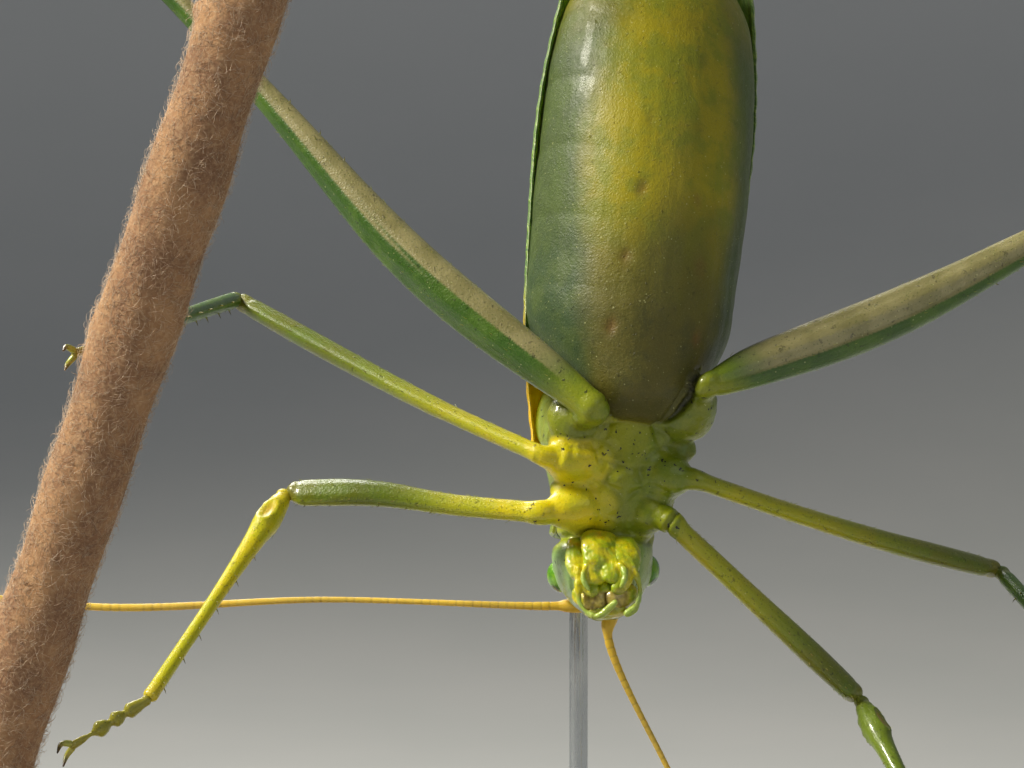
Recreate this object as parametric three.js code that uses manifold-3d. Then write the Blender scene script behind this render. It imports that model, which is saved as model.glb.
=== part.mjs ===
// A bush katydid, a long-horned grasshopper, hanging head down from a woolly stem, life size, as a
// museum keeps one: still, on a flat wooden base with one steel rod to the stem and one to its back.
//
// Units are millimetres. The part's frame has +Z up and its origin at the middle of the base's
// underside. The animal is modelled in a body frame of its own (+X its right side, +Y forward to the
// head, +Z up out of its back, origin in the middle of the thorax), which the pose then turns head down
// with its belly to -Y. Points of the legs, feelers and stem that the pose fixes are given in a hanging
// frame: the part's directions, measured from the thorax. Numbers in a graph are pairs of place and size.
import * as THREE from 'three';
import { mergeVertices } from 'three/addons/utils/BufferGeometryUtils.js';
import Module from 'manifold-3d';

const wasm = await Module();
wasm.setup();

// ---- driving dimensions -------------------------------------------------------------------------
const GAP = 0.3; // clearance between neighbouring solids
const BASE = { length: 92, width: 46, thickness: 5, corner: 9, bevel: 0.8 };
const ROD = { radius: 0.5, footRadius: 2.0, footHeight: 1.2, bend: 3 };
const THORAX_AT = new THREE.Vector3(2, 3, 54); // where the pose hangs the thorax, in the part's frame
const POSE = { lean: 6, pitch: 10, roll: 13 }; // degrees, of the body's long axis and about it
const HEAD_TURN = { pivot: new THREE.Vector3(0, 4.0, 0.5), roll: 16, yaw: -10 }; // against the chest
const STEM = {
  radius: 1.95,
  low: new THREE.Vector3(-28.0, -14, -15.2),
  high: new THREE.Vector3(-6.0, -14, 50.8),
  sides: 11,
};
const SIMPLER = 0.028; // how far a cut face may be straightened
const WING_THICKNESS = 0.5;
const FEELER = { base: 0.3, tip: 0.25, scape: 0.42 }; // radii
const EYE = { length: 1.6, height: 1.7, depth: 1.4, out: 2.02 };

// ---- the pose ------------------------------------------------------------------------------------
const radians = THREE.MathUtils.degToRad;
const poseTurn = new THREE.Matrix4()
  .makeRotationFromEuler(
    new THREE.Euler(radians(-POSE.pitch), radians(POSE.lean), radians(POSE.roll), 'YXZ'),
  )
  .multiply(new THREE.Matrix4().makeRotationX(-Math.PI / 2));
const poseBack = poseTurn.clone().invert();

/** A point of the body frame. */
const at = (x, y, z) => new THREE.Vector3(x, y, z);

/** A point of the hanging frame, brought into the body frame. */
const hung = (x, y, z) => at(x, y, z).applyMatrix4(poseBack);

const headTurn = new THREE.Matrix4()
  .makeTranslation(HEAD_TURN.pivot)
  .multiply(
    new THREE.Matrix4().makeRotationFromEuler(
      new THREE.Euler(0, radians(HEAD_TURN.roll), radians(HEAD_TURN.yaw), 'ZYX'),
    ),
  )
  .multiply(new THREE.Matrix4().makeTranslation(HEAD_TURN.pivot.clone().negate()));

/** A point of the head, brought into the body frame as the head is turned. */
const onHead = (x, y, z) => at(x, y, z).applyMatrix4(headTurn);

// ---- shapes --------------------------------------------------------------------------------------
/** A smooth curve through a few [place, value] pairs, flat beyond its ends. */
function graph(pairs) {
  const slope = (i) => {
    const a = pairs[Math.max(i - 1, 0)];
    const b = pairs[Math.min(i + 1, pairs.length - 1)];
    return (b[1] - a[1]) / (b[0] - a[0]);
  };
  return (place) => {
    if (place <= pairs[0][0]) return pairs[0][1];
    const i = pairs.findIndex((pair) => place <= pair[0]);
    if (i < 0) return pairs[pairs.length - 1][1];
    const [x0, y0] = pairs[i - 1];
    const [x1, y1] = pairs[i];
    const step = x1 - x0;
    const t = (place - x0) / step;
    const value = y0 * (1 + 2 * t) * (1 - t) ** 2 + y1 * t * t * (3 - 2 * t);
    return value + step * (slope(i - 1) * t * (1 - t) ** 2 + slope(i) * t * t * (t - 1));
  };
}

/** A closed geometry from points and triangles, turned so that its faces point out. */
function closed(points, index) {
  const geometry = new THREE.BufferGeometry().setFromPoints(points);
  let volume = 0;
  const normal = new THREE.Vector3();
  for (let i = 0; i < index.length; i += 3) {
    normal.crossVectors(points[index[i + 1]], points[index[i + 2]]);
    volume += normal.dot(points[index[i]]);
  }
  geometry.setIndex(volume < 0 ? index.reverse() : index);
  return geometry;
}

/** A skin over a row of rings, closed by a point at each end. */
function loft(start, rings, end) {
  const count = rings[0].length;
  const points = [start, ...rings.flat(), end];
  const last = points.length - 1;
  const index = [];
  for (let i = 0; i < count; i += 1) {
    const j = (i + 1) % count;
    index.push(0, 1 + j, 1 + i);
    for (let ring = 0; ring + 1 < rings.length; ring += 1) {
      const a = 1 + ring * count;
      const b = a + count;
      index.push(a + i, a + j, b + i);
      index.push(b + i, a + j, b + j);
    }
    index.push(last - count + i, last - count + j, last);
  }
  return closed(points, index);
}

/** A bent plate of even thickness under a grid of outer points. */
function plate(rows, thickness) {
  const across = rows[0].length;
  const pick = (r, c) =>
    rows[THREE.MathUtils.clamp(r, 0, rows.length - 1)][THREE.MathUtils.clamp(c, 0, across - 1)];
  const inner = rows.map((row, r) =>
    row.map((point, c) => {
      const along = pick(r + 1, c).clone().sub(pick(r - 1, c));
      const side = pick(r, c + 1).clone().sub(pick(r, c - 1));
      return point.clone().addScaledVector(along.cross(side).normalize(), -thickness);
    }),
  );
  const points = [...rows.flat(), ...inner.flat()];
  const back = rows.length * across;
  const index = [];
  const quad = (a, b, c, d) => index.push(a, b, c, a, c, d);
  for (let r = 0; r + 1 < rows.length; r += 1) {
    for (let c = 0; c + 1 < across; c += 1) {
      const a = r * across + c;
      quad(a, a + 1, a + across + 1, a + across);
      quad(back + a, back + a + across, back + a + across + 1, back + a + 1);
    }
    const left = r * across;
    const right = left + across - 1;
    quad(left, left + across, back + left + across, back + left);
    quad(right, back + right, back + right + across, right + across);
  }
  const bottom = back - across;
  for (let c = 0; c + 1 < across; c += 1) {
    quad(c, back + c, back + c + 1, c + 1);
    quad(bottom + c, bottom + c + 1, back + bottom + c + 1, back + bottom + c);
  }
  return closed(points, index);
}

/** An oval ring of a body part across its long axis, its size read from the part's graphs. */
function bodyRing(part, y, grow) {
  const middle = part.middle(y);
  const ring = [];
  for (let i = 0; i < part.sides; i += 1) {
    const angle = (i / part.sides) * Math.PI * 2;
    const rise = Math.sin(angle);
    const reach = rise > 0 ? part.top(y) - middle : middle - part.bottom(y);
    ring.push(at(Math.cos(angle) * (part.half(y) + grow), y, middle + rise * (reach + grow)));
  }
  return ring;
}

/** A round-ended limb along a path, with half sizes across and up given over its length from 0 to 1. */
function limb(path, across, up, { steps = 8, sides = 8, grow = 0, top = at(0, 0, 1) } = {}) {
  const curve = path.length > 2 ? new THREE.CatmullRomCurve3(path) : new THREE.LineCurve3(...path);
  const length = curve.getLength();
  const startRound = Math.min(across(0), up(0)) + grow;
  const endRound = Math.min(across(1), up(1)) + grow;
  const rings = [];
  const stations = [];
  for (let i = 0; i <= steps; i += 1) stations.push((length * i) / steps);
  stations[0] = startRound * 0.35 - grow;
  stations[steps] = length + grow - endRound * 0.35;
  for (const place of stations) {
    const t = THREE.MathUtils.clamp(place / length, 0, 1);
    const tangent = curve.getTangentAt(t);
    const side = tangent.clone().cross(top).normalize();
    const over = side.clone().cross(tangent).normalize();
    const centre = curve.getPointAt(t).addScaledVector(tangent, place - t * length);
    const nearEnd = Math.min((place + grow) / startRound, (length + grow - place) / endRound, 1);
    const round = Math.sqrt(1 - (1 - nearEnd) ** 2);
    const ring = [];
    for (let k = 0; k < sides; k += 1) {
      const angle = ((k + 0.5) / sides) * Math.PI * 2;
      const point = centre.clone();
      point.addScaledVector(side, Math.cos(angle) * (across(t) + grow) * round);
      ring.push(point.addScaledVector(over, Math.sin(angle) * (up(t) + grow) * round));
    }
    rings.push(ring);
  }
  const from = curve.getPointAt(0).addScaledVector(curve.getTangentAt(0), -grow);
  const to = curve.getPointAt(1).addScaledVector(curve.getTangentAt(1), grow);
  return loft(from, rings, to);
}

/** A flattened ball with its own half sizes, turned by a quaternion. */
function ball(centre, x, y, z, turn = new THREE.Quaternion(), detail = [12, 8]) {
  const geometry = new THREE.SphereGeometry(1, detail[0], detail[1]);
  geometry.scale(x, y, z);
  geometry.applyQuaternion(turn);
  return geometry.translate(centre.x, centre.y, centre.z);
}

// ---- solids: joining and cutting -----------------------------------------------------------------
/** A geometry as a solid that can be joined and cut. */
function solid(geometry) {
  const bare = geometry.clone();
  bare.deleteAttribute('normal');
  bare.deleteAttribute('uv');
  const merged = mergeVertices(bare, 1e-5);
  const vertProperties = new Float32Array(merged.attributes.position.array);
  const triVerts = new Uint32Array(merged.index.array);
  return new wasm.Manifold(new wasm.Mesh({ numProp: 3, vertProperties, triVerts }));
}

/** A solid back as a geometry. */
function shape(body) {
  const mesh = body.getMesh();
  const geometry = new THREE.BufferGeometry();
  geometry.setAttribute('position', new THREE.BufferAttribute(mesh.vertProperties, 3));
  geometry.setIndex(new THREE.BufferAttribute(mesh.triVerts, 1));
  return geometry;
}

/** The largest of the pieces a solid is in. */
const largest = (body) => body.decompose().sort((a, b) => b.volume() - a.volume())[0];

/** The largest piece that is left of a geometry once others are cut from it, without slivers. */
function cut(geometry, ...others) {
  const body = others.reduce((left, other) => left.subtract(solid(other)), solid(geometry));
  return shape(largest(largest(body).simplify(SIMPLER)));
}

/** Several geometries joined into one solid. */
function joined(...geometries) {
  return shape(largest(geometries.map(solid).reduce((a, b) => a.add(b)).simplify(SIMPLER)));
}

// ---- finishes ------------------------------------------------------------------------------------
const finish = (color, roughness, metalness = 0) =>
  new THREE.MeshStandardMaterial({ color, roughness, metalness });
const FINISHES = {
  belly: () => finish(0x7d8a2c, 0.4),
  thorax: () => finish(0xa9ab28, 0.4),
  leg: () => finish(0x7c9433, 0.42),
  wing: () => finish(0x4f7a38, 0.45),
  feeler: () => finish(0xcf9f2b, 0.45),
  eye: () => finish(0x3fa043, 0.12),
  mouth: () => finish(0xb6bd4e, 0.35),
  stem: () => finish(0x8a6a4b, 0.95),
  wood: () => finish(0x6b4a30, 0.5),
  steel: () => finish(0xb9bcc0, 0.3, 1),
};

const katydid = new THREE.Group();
const animal = new THREE.Group();
animal.applyMatrix4(poseTurn);
animal.position.copy(THORAX_AT);
katydid.add(animal);

/** Adds one named piece to a group. */
function add(group, name, geometry, finishName) {
  const mesh = new THREE.Mesh(geometry, FINISHES[finishName]());
  mesh.name = name;
  group.add(mesh);
  return mesh;
}

const SIDES = [
  ['left', -1],
  ['right', 1],
];

// ---- wings ---------------------------------------------------------------------------------------
// Each fore wing lies like half a roof over the abdomen, from the ridge on the back down to its lower
// edge on the flank. The hind wings fold under them and show only as two narrow tips behind.
const WING = {
  root: -0.9,
  tip: -33.2,
  half: graph([
    [-33.6, 0.8], [-32.4, 1.9], [-30, 3.0], [-26.5, 4.05], [-22.6, 4.75], [-18.5, 5.2], [-14, 5.35],
    [-10, 5.15], [-6, 4.75], [-3, 4.15], [-0.9, 3.65],
  ]),
  ridge: graph([
    [-33.6, 1.7], [-32.4, 2.2], [-29, 3.0], [-22, 4.1], [-13, 4.7], [-6, 4.5], [-3, 4.0], [-0.9, 3.4],
  ]),
  hem: graph([
    [-33.6, 1.0], [-32.4, 0.4], [-29, -0.1], [-22, -0.3], [-14, 0.0], [-8, 0.4], [-3, 1.0], [-0.9, 1.4],
  ]),
  fold: 0.72,
  lengthSteps: 11,
  roofSteps: 5,
};

/** The half roof of one fore wing, as a plate whose outside may stand proud for cutting. */
function foreWing(side, proud = 0) {
  const rows = [];
  const { lengthSteps, roofSteps } = WING;
  for (let i = 0; i <= lengthSteps; i += 1) {
    const t = i / lengthSteps;
    const y = THREE.MathUtils.lerp(WING.root + proud, WING.tip - proud, 1 - (1 - t) ** 1.25);
    const row = [];
    for (let k = 0; k <= roofSteps; k += 1) {
      const angle = (k / roofSteps) * Math.PI * 0.5;
      const x = 0.25 - proud + (WING.half(y) + proud - 0.25 + proud) * Math.sin(angle) ** WING.fold;
      const hem = WING.hem(y) - proud;
      const z = hem + (WING.ridge(y) + proud - hem) * Math.cos(angle) ** WING.fold;
      row.push(at(side * x, y, z));
    }
    rows.push(side > 0 ? row : row.reverse());
  }
  return plate(rows, WING_THICKNESS + 2 * proud);
}

const hindWingRing = (side, y, half, low, high) => [
  at(side * 0.2, y, low),
  at(side * (0.2 + half), y, low + 0.1),
  at(side * (0.2 + half), y, high - 0.1),
  at(side * 0.2, y, high),
];

/** The end of a folded hind wing, standing out behind the fore wing. */
function hindWingTip(side) {
  const rings = [
    hindWingRing(side, -28, 0.55, 0.2, 2.2),
    hindWingRing(side, -33, 0.55, 0.45, 1.75),
    hindWingRing(side, -36, 0.5, 0.75, 1.7),
    hindWingRing(side, -36.9, 0.45, 0.95, 1.5),
  ];
  return loft(at(side * 0.45, -28, 1.2), rings, at(side * 0.45, -37, 1.2));
}

// ---- trunk ---------------------------------------------------------------------------------------
const THORAX = {
  half: graph([[-4.4, 2.4], [-3.4, 3.4], [-1.9, 3.7], [-0.4, 3.4], [1.0, 2.7], [2.4, 2.45], [3.4, 2.4]]),
  top: graph([[-4.4, 3.4], [-1, 3.1], [1, 2.5], [3.4, 2.1]]),
  bottom: graph([[-4.4, -2.2], [-3.2, -3.0], [-0.5, -3.0], [1.5, -2.6], [2.6, -2.1], [3.4, -1.4]]),
  middle: graph([[-4.4, 0.2], [0, -0.2], [3.4, 0.3]]),
  sides: 14,
};

/** The chest from one place on the long axis to another. */
function thoraxLength(from, to, grow = 0, steps = 4) {
  const rings = [];
  for (let i = 0; i <= steps; i += 1) {
    rings.push(bodyRing(THORAX, THREE.MathUtils.lerp(from, to, i / steps), grow));
  }
  return loft(at(0, from, THORAX.middle(from)), rings, at(0, to, THORAX.middle(to)));
}

const NECK = 0.75; // where the front ring of the chest meets the rest

// The abdomen hangs full below the wings, with a blunt front end between the hind legs. Its rings of
// plates stand a little proud of the folds between them.
const ABDOMEN = {
  front: -1.9,
  back: -26.8,
  half: graph([
    [-26.8, 1.0], [-25.5, 2.2], [-23, 3.6], [-20, 4.5], [-16, 5.0], [-10, 5.1], [-6.5, 4.6], [-4.2, 3.5],
    [-2.9, 2.3], [-1.9, 0.8],
  ]),
  top: graph([[-26.8, 0.6], [-24, 2.2], [-17, 3.5], [-8, 3.7], [-4.5, 3.0], [-3, 0.2], [-1.9, -2.8]]),
  bottom: graph([[-26.8, -1.4], [-24, -3.0], [-18, -4.9], [-10, -5.6], [-5, -5.3], [-3, -4.8], [-1.9, -3.7]]),
  middle: graph([[-26.8, -0.4], [-16, -0.8], [-7, -0.9], [-4, -1.4], [-1.9, -3.3]]),
  ringLength: 3.4,
  ringRise: 0.1,
  sides: 16,
};

/** The abdomen with its ring-shaped plates. */
function abdomenShape(grow = 0) {
  const rings = [];
  const places = [-2.0, -2.6, -3.4];
  for (let y = -4.4; y > ABDOMEN.back; y -= ABDOMEN.ringLength / 2) places.push(y);
  places.forEach((y, i) => {
    rings.push(bodyRing(ABDOMEN, y, grow + (i > 2 && i % 2 ? ABDOMEN.ringRise : 0)));
  });
  const frontTip = at(0, ABDOMEN.front + grow, ABDOMEN.middle(ABDOMEN.front));
  return loft(frontTip, rings, at(0, ABDOMEN.back - grow, ABDOMEN.middle(ABDOMEN.back)));
}

const PRONOTUM = {
  front: 3.3,
  back: -3.4,
  half: graph([[-3.4, 2.7], [-1, 3.3], [1, 2.75], [3.3, 2.45]]),
  top: graph([[-3.4, 4.85], [-1, 4.15], [1, 3.55], [3.3, 3.3]]),
  hem: graph([[-3.4, 4.2], [-2.4, 2.4], [-1.3, 0.6], [0.2, -0.9], [1.6, -1.2], [2.6, -0.6], [3.3, 0.6]]),
  square: 0.72,
};

/** The saddle-shaped shield over the front of the chest. */
function pronotumShape() {
  const rows = [];
  const steps = 8;
  const arch = 12;
  for (let i = 0; i <= steps; i += 1) {
    const y = THREE.MathUtils.lerp(PRONOTUM.front, PRONOTUM.back, i / steps);
    const row = [];
    for (let k = 0; k <= arch; k += 1) {
      const angle = (k / arch) * Math.PI;
      const out = Math.cos(angle);
      const x = Math.sign(out) * Math.abs(out) ** PRONOTUM.square * PRONOTUM.half(y);
      const hem = PRONOTUM.hem(y);
      row.push(at(x, y, hem + (PRONOTUM.top(y) - hem) * Math.sin(angle) ** PRONOTUM.square));
    }
    rows.push(row.reverse());
  }
  return rows;
}

// ---- head ----------------------------------------------------------------------------------------
// The face looks forward and the jaws point to the belly side, so the head is built of level rings.
const HEAD = {
  crown: 4.0,
  chin: -2.3,
  half: graph([
    [-2.3, 1.2], [-1.7, 1.75], [-0.8, 2.1], [0.3, 2.26], [1.6, 2.2], [2.8, 1.85], [3.6, 1.2], [4.0, 0.6],
  ]),
  face: graph([[-2.3, 6.0], [-1.4, 6.75], [0, 7.1], [1.6, 7.2], [3.0, 6.95], [4.0, 6.3]]),
  nape: graph([[-2.3, 3.9], [-1.5, 3.4], [0, 3.15], [2, 3.15], [3.3, 3.6], [4.0, 4.5]]),
  egg: 0.2, // how much the head narrows from its cheeks to the face
  blunt: 0.48, // roundness of its neck side: 1 is an ellipse, less is squarer
  steps: 8,
  sides: 14,
};

const signedPower = (value, power) => Math.sign(value) * Math.abs(value) ** power;

/** The skull without eyes and jaws. */
function headShape(grow = 0) {
  const rings = [];
  const { steps, sides } = HEAD;
  for (let i = 0; i <= steps; i += 1) {
    const z = THREE.MathUtils.lerp(HEAD.chin - grow, HEAD.crown + grow, (i + 0.25) / (steps + 0.5));
    const middle = (HEAD.face(z) + HEAD.nape(z)) / 2;
    const deep = (HEAD.face(z) - HEAD.nape(z)) / 2 + grow;
    const ring = [];
    for (let k = 0; k < sides; k += 1) {
      const angle = (k / sides) * Math.PI * 2;
      const power = Math.sin(angle) < 0 ? HEAD.blunt : 1;
      const forward = signedPower(Math.sin(angle), power);
      const out = signedPower(Math.cos(angle), power) * (HEAD.half(z) * (1 - HEAD.egg * forward) + grow);
      ring.push(onHead(out, middle + forward * deep, z));
    }
    rings.push(ring);
  }
  const low = onHead(0, 4.9, HEAD.chin - grow);
  return loft(low, rings, onHead(0, 5.4, HEAD.crown + 0.1 + grow));
}

/** An eye, nearly round and set into the upper side of the head. */
function eyeShape(side, grow = 0) {
  const { length, height, depth } = EYE;
  const centre = at(side * EYE.out, 4.85, 2.2);
  const turn = new THREE.Quaternion().setFromEuler(new THREE.Euler(0, 0, side * 0.18));
  const half = [depth, length, height].map((size) => size / 2 + grow);
  return ball(centre, ...half, turn, [12, 7]).applyMatrix4(headTurn);
}

const even = (size) => () => size;

const MOUTH = {
  labrum: [at(0, 6.85, -1.3), at(0, 7.0, -2.3), at(0, 6.8, -2.95)],
  jaw: [at(0.95, 6.05, -1.8), at(0.9, 6.1, -2.6), at(0.4, 6.1, -3.1)],
  maxilla: [at(1.15, 3.9, -1.9), at(1.3, 4.7, -2.6), at(1.1, 5.4, -3.0)],
  labium: [at(0, 3.7, -1.9), at(0, 4.5, -2.9), at(0, 5.4, -3.3)],
  lipFeeler: [at(0.5, 4.7, -3.3), at(0.65, 5.3, -3.65), at(0.35, 5.8, -3.75)],
  leftPalp: [at(-1.35, 4.8, -2.7), at(-1.2, 6.2, -2.9), at(-0.75, 7.05, -3.1), at(0.4, 6.5, -3.75)],
  rightPalp: [at(1.5, 4.9, -2.5), at(1.65, 6.2, -2.7), at(1.2, 6.85, -2.75), at(0.65, 7.35, -2.6)],
};

const mirrored = (path, side) => path.map((point) => at(side * point.x, point.y, point.z));

/** The upper lip below the face. */
function labrumShape(grow = 0) {
  const width = graph([[0, 0.95], [0.5, 1.1], [1, 0.75]]);
  const lip = limb(MOUTH.labrum, width, graph([[0, 0.4], [1, 0.3]]), { steps: 4, grow, top: at(0, 1, 0.3) });
  return lip.applyMatrix4(headTurn);
}

/** One jaw, behind the upper lip. */
function jawShape(side, grow = 0) {
  const options = { steps: 3, sides: 5, grow, top: at(0, 1, 0) };
  const jaw = limb(mirrored(MOUTH.jaw, side), graph([[0, 0.4], [1, 0.28]]), even(0.28), options);
  return jaw.applyMatrix4(headTurn);
}

/** The side piece of the mouth, and the palp that hangs from it. */
function maxillaShape(side, grow = 0) {
  const width = graph([[0, 0.5], [0.5, 0.6], [1, 0.3]]);
  const depth = graph([[0, 0.45], [1, 0.3]]);
  const body = limb(mirrored(MOUTH.maxilla, side), width, depth, { steps: 3, sides: 6, grow });
  const thick = graph([[0, 0.25], [0.6, 0.27], [0.9, 0.3], [1, 0.27]]);
  const palp = limb(side < 0 ? MOUTH.leftPalp : MOUTH.rightPalp, thick, thick, { steps: 7, sides: 5, grow });
  return joined(body, palp).applyMatrix4(headTurn);
}

/** The lower lip, with its two short palps laid along it. */
function labiumShape(grow = 0) {
  const width = graph([[0, 0.75], [0.6, 0.85], [1, 0.65]]);
  const body = limb(MOUTH.labium, width, graph([[0, 0.5], [1, 0.35]]), { steps: 3, grow });
  const palps = SIDES.map(([, side]) =>
    limb(mirrored(MOUTH.lipFeeler, side), even(0.25), even(0.25), { steps: 3, sides: 5, grow }),
  );
  return joined(body, ...palps).applyMatrix4(headTurn);
}

// ---- feelers -------------------------------------------------------------------------------------
const FEELER_PATHS = {
  left: [
    onHead(-0.6, 6.3, 2.9), hung(-3.2, 1.9, -6.7), hung(-14, 3.2, -6.5), hung(-26, 4, -6.9),
    hung(-37, 4.4, -5.2), hung(-46, 4.5, -1.0),
  ],
  right: [
    onHead(0.45, 6.45, 2.7), hung(-0.2, 1.4, -8.0), hung(2.75, 1.0, -14.6), hung(7.0, 0.6, -22.6),
    hung(13.5, 0, -30.6), hung(22.5, -0.6, -36.6),
  ],
};

/** A feeler: its thick first joint and the long thread. */
function feelerShape(name, grow = 0) {
  const radius = graph([
    [0, FEELER.scape], [0.025, FEELER.scape], [0.045, FEELER.base], [0.5, 0.27], [1, FEELER.tip],
  ]);
  return limb(FEELER_PATHS[name], radius, radius, { steps: 20, sides: 5, grow });
}

// ---- legs ----------------------------------------------------------------------------------------
// Each leg runs socket, hip, knee, ankle, toe: the first two in the body frame, the rest hung in the
// pose. coxaShort is how far before the hip the coxa ends, and bow how far the thigh leaves the straight
// line from hip to knee at one third and at two thirds of it.
const LEGS = {
  fore_left: {
    socket: at(-1.0, 1.8, -0.9), hip: at(-3.6, 2.75, -1.9), coxaShort: 0.1, bow: [0, 0],
    knee: hung(-15.7, 0, -1.1), ankle: hung(-20.8, -10.4, -9.7), toe: hung(-24.0, -11.8, -11.6),
  },
  fore_right: {
    socket: at(1.0, 1.7, -0.9), hip: at(2.6, 2.15, -2.7), coxaShort: 0.1, bow: [0, 0],
    knee: hung(11.85, 0, -11.0), ankle: hung(15.6, -10.2, -19.6), toe: hung(16.9, -13.0, -21.6),
  },
  middle_left: {
    socket: at(-1.1, -0.1, -1.1), hip: at(-4.0, 0.2, -2.4), coxaShort: 0.1, bow: [0.25, 0.2],
    knee: hung(-18.7, 5.8, 8.4), ankle: hung(-21.2, -10.9, 6.4), toe: hung(-23.6, -13.4, 5.4),
  },
  middle_right: {
    socket: at(1.3, 0.1, -1.2), hip: at(3.1, 0.35, -3.0), coxaShort: 0.1, bow: [0.2, 0.2],
    knee: hung(19.5, 4.8, -5.2), ankle: hung(24.6, -10.6, -13.0), toe: hung(26.6, -13.2, -15.0),
  },
  hind_left: {
    socket: at(-2.6, -1.6, -1.0), hip: at(-2.7, -2.35, -4.3), coxaShort: 1.05, bow: [1.1, 0.45],
    knee: hung(-24.4, 6.5, 26.3), ankle: hung(-9.4, -11.3, 46.4), toe: hung(-7.2, -11.5, 50.2),
  },
  hind_right: {
    socket: at(2.2, -2.1, -1.4), hip: at(3.05, -4.1, -4.6), coxaShort: 0.5, bow: [0.8, 0.5],
    knee: hung(31.4, 6.5, 16.6), ankle: hung(38.6, -11.4, -8.6), toe: hung(40.8, -13.8, -11.6),
  },
};
// Half sizes over each segment's length, and how far past the hip the thigh starts.
const LEG_SIZES = {
  fore: {
    thighStart: 0.2,
    coxa: graph([[0, 1.6], [0.45, 1.25], [0.8, 0.75], [1, 0.62]]),
    femur: [
      graph([[0, 0.55], [0.3, 0.52], [1, 0.52]]),
      graph([[0, 0.58], [0.15, 0.6], [0.7, 0.6], [1, 0.64]]),
    ],
    tibia: [
      graph([[0, 0.34], [0.12, 0.5], [0.24, 0.42], [1, 0.34]]),
      graph([[0, 0.4], [0.12, 0.55], [0.24, 0.44], [1, 0.36]]),
    ],
    tarsus: 0.36,
  },
  middle: {
    thighStart: 0.2,
    coxa: graph([[0, 1.6], [0.45, 1.25], [0.8, 0.75], [1, 0.62]]),
    femur: [
      graph([[0, 0.46], [0.3, 0.47], [1, 0.46]]),
      graph([[0, 0.48], [0.15, 0.55], [0.7, 0.55], [1, 0.58]]),
    ],
    tibia: [graph([[0, 0.36], [0.3, 0.38], [1, 0.32]]), graph([[0, 0.42], [0.3, 0.42], [1, 0.34]])],
    tarsus: 0.36,
  },
  hind: {
    thighStart: -0.45,
    coxa: graph([[0, 1.7], [0.5, 1.5], [1, 0.8]]),
    femur: [
      graph([
        [0, 0.5], [0.05, 0.75], [0.12, 0.98], [0.22, 1.08], [0.36, 1.04], [0.5, 0.85], [0.66, 0.66],
        [0.8, 0.55], [1, 0.52],
      ]),
      graph([
        [0, 0.55], [0.05, 0.85], [0.12, 1.08], [0.22, 1.2], [0.36, 1.16], [0.5, 0.95], [0.66, 0.72],
        [0.8, 0.6], [1, 0.64],
      ]),
    ],
    tibia: [graph([[0, 0.36], [0.1, 0.38], [1, 0.36]]), graph([[0, 0.5], [0.1, 0.44], [1, 0.4]])],
    tarsus: 0.42,
  },
};
const FORWARD = at(0, 1, 0);
const KNEE_ROOM = 0.55; // how far past the knee's middle the shin starts

/** The pole that a leg's upper side looks to: away from the belly side of its bend. */
function outOfBend(leg) {
  const chord = leg.hip.clone().add(leg.ankle).multiplyScalar(0.5);
  return leg.knee.clone().sub(chord).normalize();
}

/** A point some way from one joint towards another. */
const towards = (from, to, distance) =>
  from.clone().addScaledVector(to.clone().sub(from).normalize(), distance);

function coxaShape(leg, sizes, grow = 0) {
  const end = towards(leg.hip, leg.socket, leg.coxaShort);
  const path = [leg.socket, leg.socket.clone().lerp(end, 0.55), end];
  return limb(path, sizes.coxa, sizes.coxa, { steps: 4, sides: 8, grow, top: at(0, 1, 0.1) });
}

function femurShape(leg, sizes, grow = 0) {
  const start = towards(leg.hip, leg.knee, sizes.thighStart);
  const along = leg.knee.clone().sub(leg.hip).normalize();
  const bowing = FORWARD.clone().addScaledVector(along, -FORWARD.dot(along)).normalize();
  const path = [start, start.clone().lerp(leg.knee, 0.33), start.clone().lerp(leg.knee, 0.66), leg.knee];
  leg.bow.forEach((bow, i) => path[i + 1].addScaledVector(bowing, bow));
  return limb(path, ...sizes.femur, { steps: 9, sides: 7, grow, top: outOfBend(leg) });
}

function tibiaShape(leg, sizes, grow = 0) {
  const start = towards(leg.knee, leg.ankle, KNEE_ROOM);
  return limb([start, leg.ankle], ...sizes.tibia, { steps: 6, sides: 7, grow, top: outOfBend(leg) });
}

/** A foot: four pads in a row, waisted between them, and two claws. */
function tarsusShape(leg, sizes) {
  const start = towards(leg.ankle, leg.toe, 0.5);
  const along = leg.toe.clone().sub(leg.ankle).normalize();
  const top = outOfBend(leg);
  const side = along.clone().cross(top).normalize();
  const pads = (t) => sizes.tarsus * (0.72 + 0.28 * Math.abs(Math.sin(Math.PI * 4 * t)));
  const flat = (t) => pads(t) * 0.8;
  const foot = limb([start, leg.toe], pads, flat, { steps: 10, sides: 5, top });
  const claws = [-1, 1].map((way) => {
    const root = towards(leg.toe, leg.ankle, 0.35);
    const middle = leg.toe.clone().addScaledVector(side, way * 0.38).addScaledVector(along, 0.2);
    const tip = middle.clone().addScaledVector(along, 0.32).addScaledVector(top, -0.45);
    const thick = graph([[0, 0.25], [1, 0.14]]);
    return limb([root, middle, tip], thick, thick, { steps: 2, sides: 4, top });
  });
  return joined(foot, ...claws);
}

// ---- ovipositor ----------------------------------------------------------------------------------
const OVIPOSITOR = [at(0, -25.8, -1.1), at(0, -28.2, -1.9), at(0, -30.8, -1.1), at(0, -32.4, 0.5)];

/** The short sabre-shaped egg layer, flat from side to side and curved up. */
function ovipositorShape(grow = 0) {
  const height = graph([[0, 0.75], [0.3, 1.05], [0.75, 0.75], [1, 0.3]]);
  return limb(OVIPOSITOR, even(0.32), height, { steps: 7, sides: 6, grow, top: at(0, 0, 1) });
}

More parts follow.
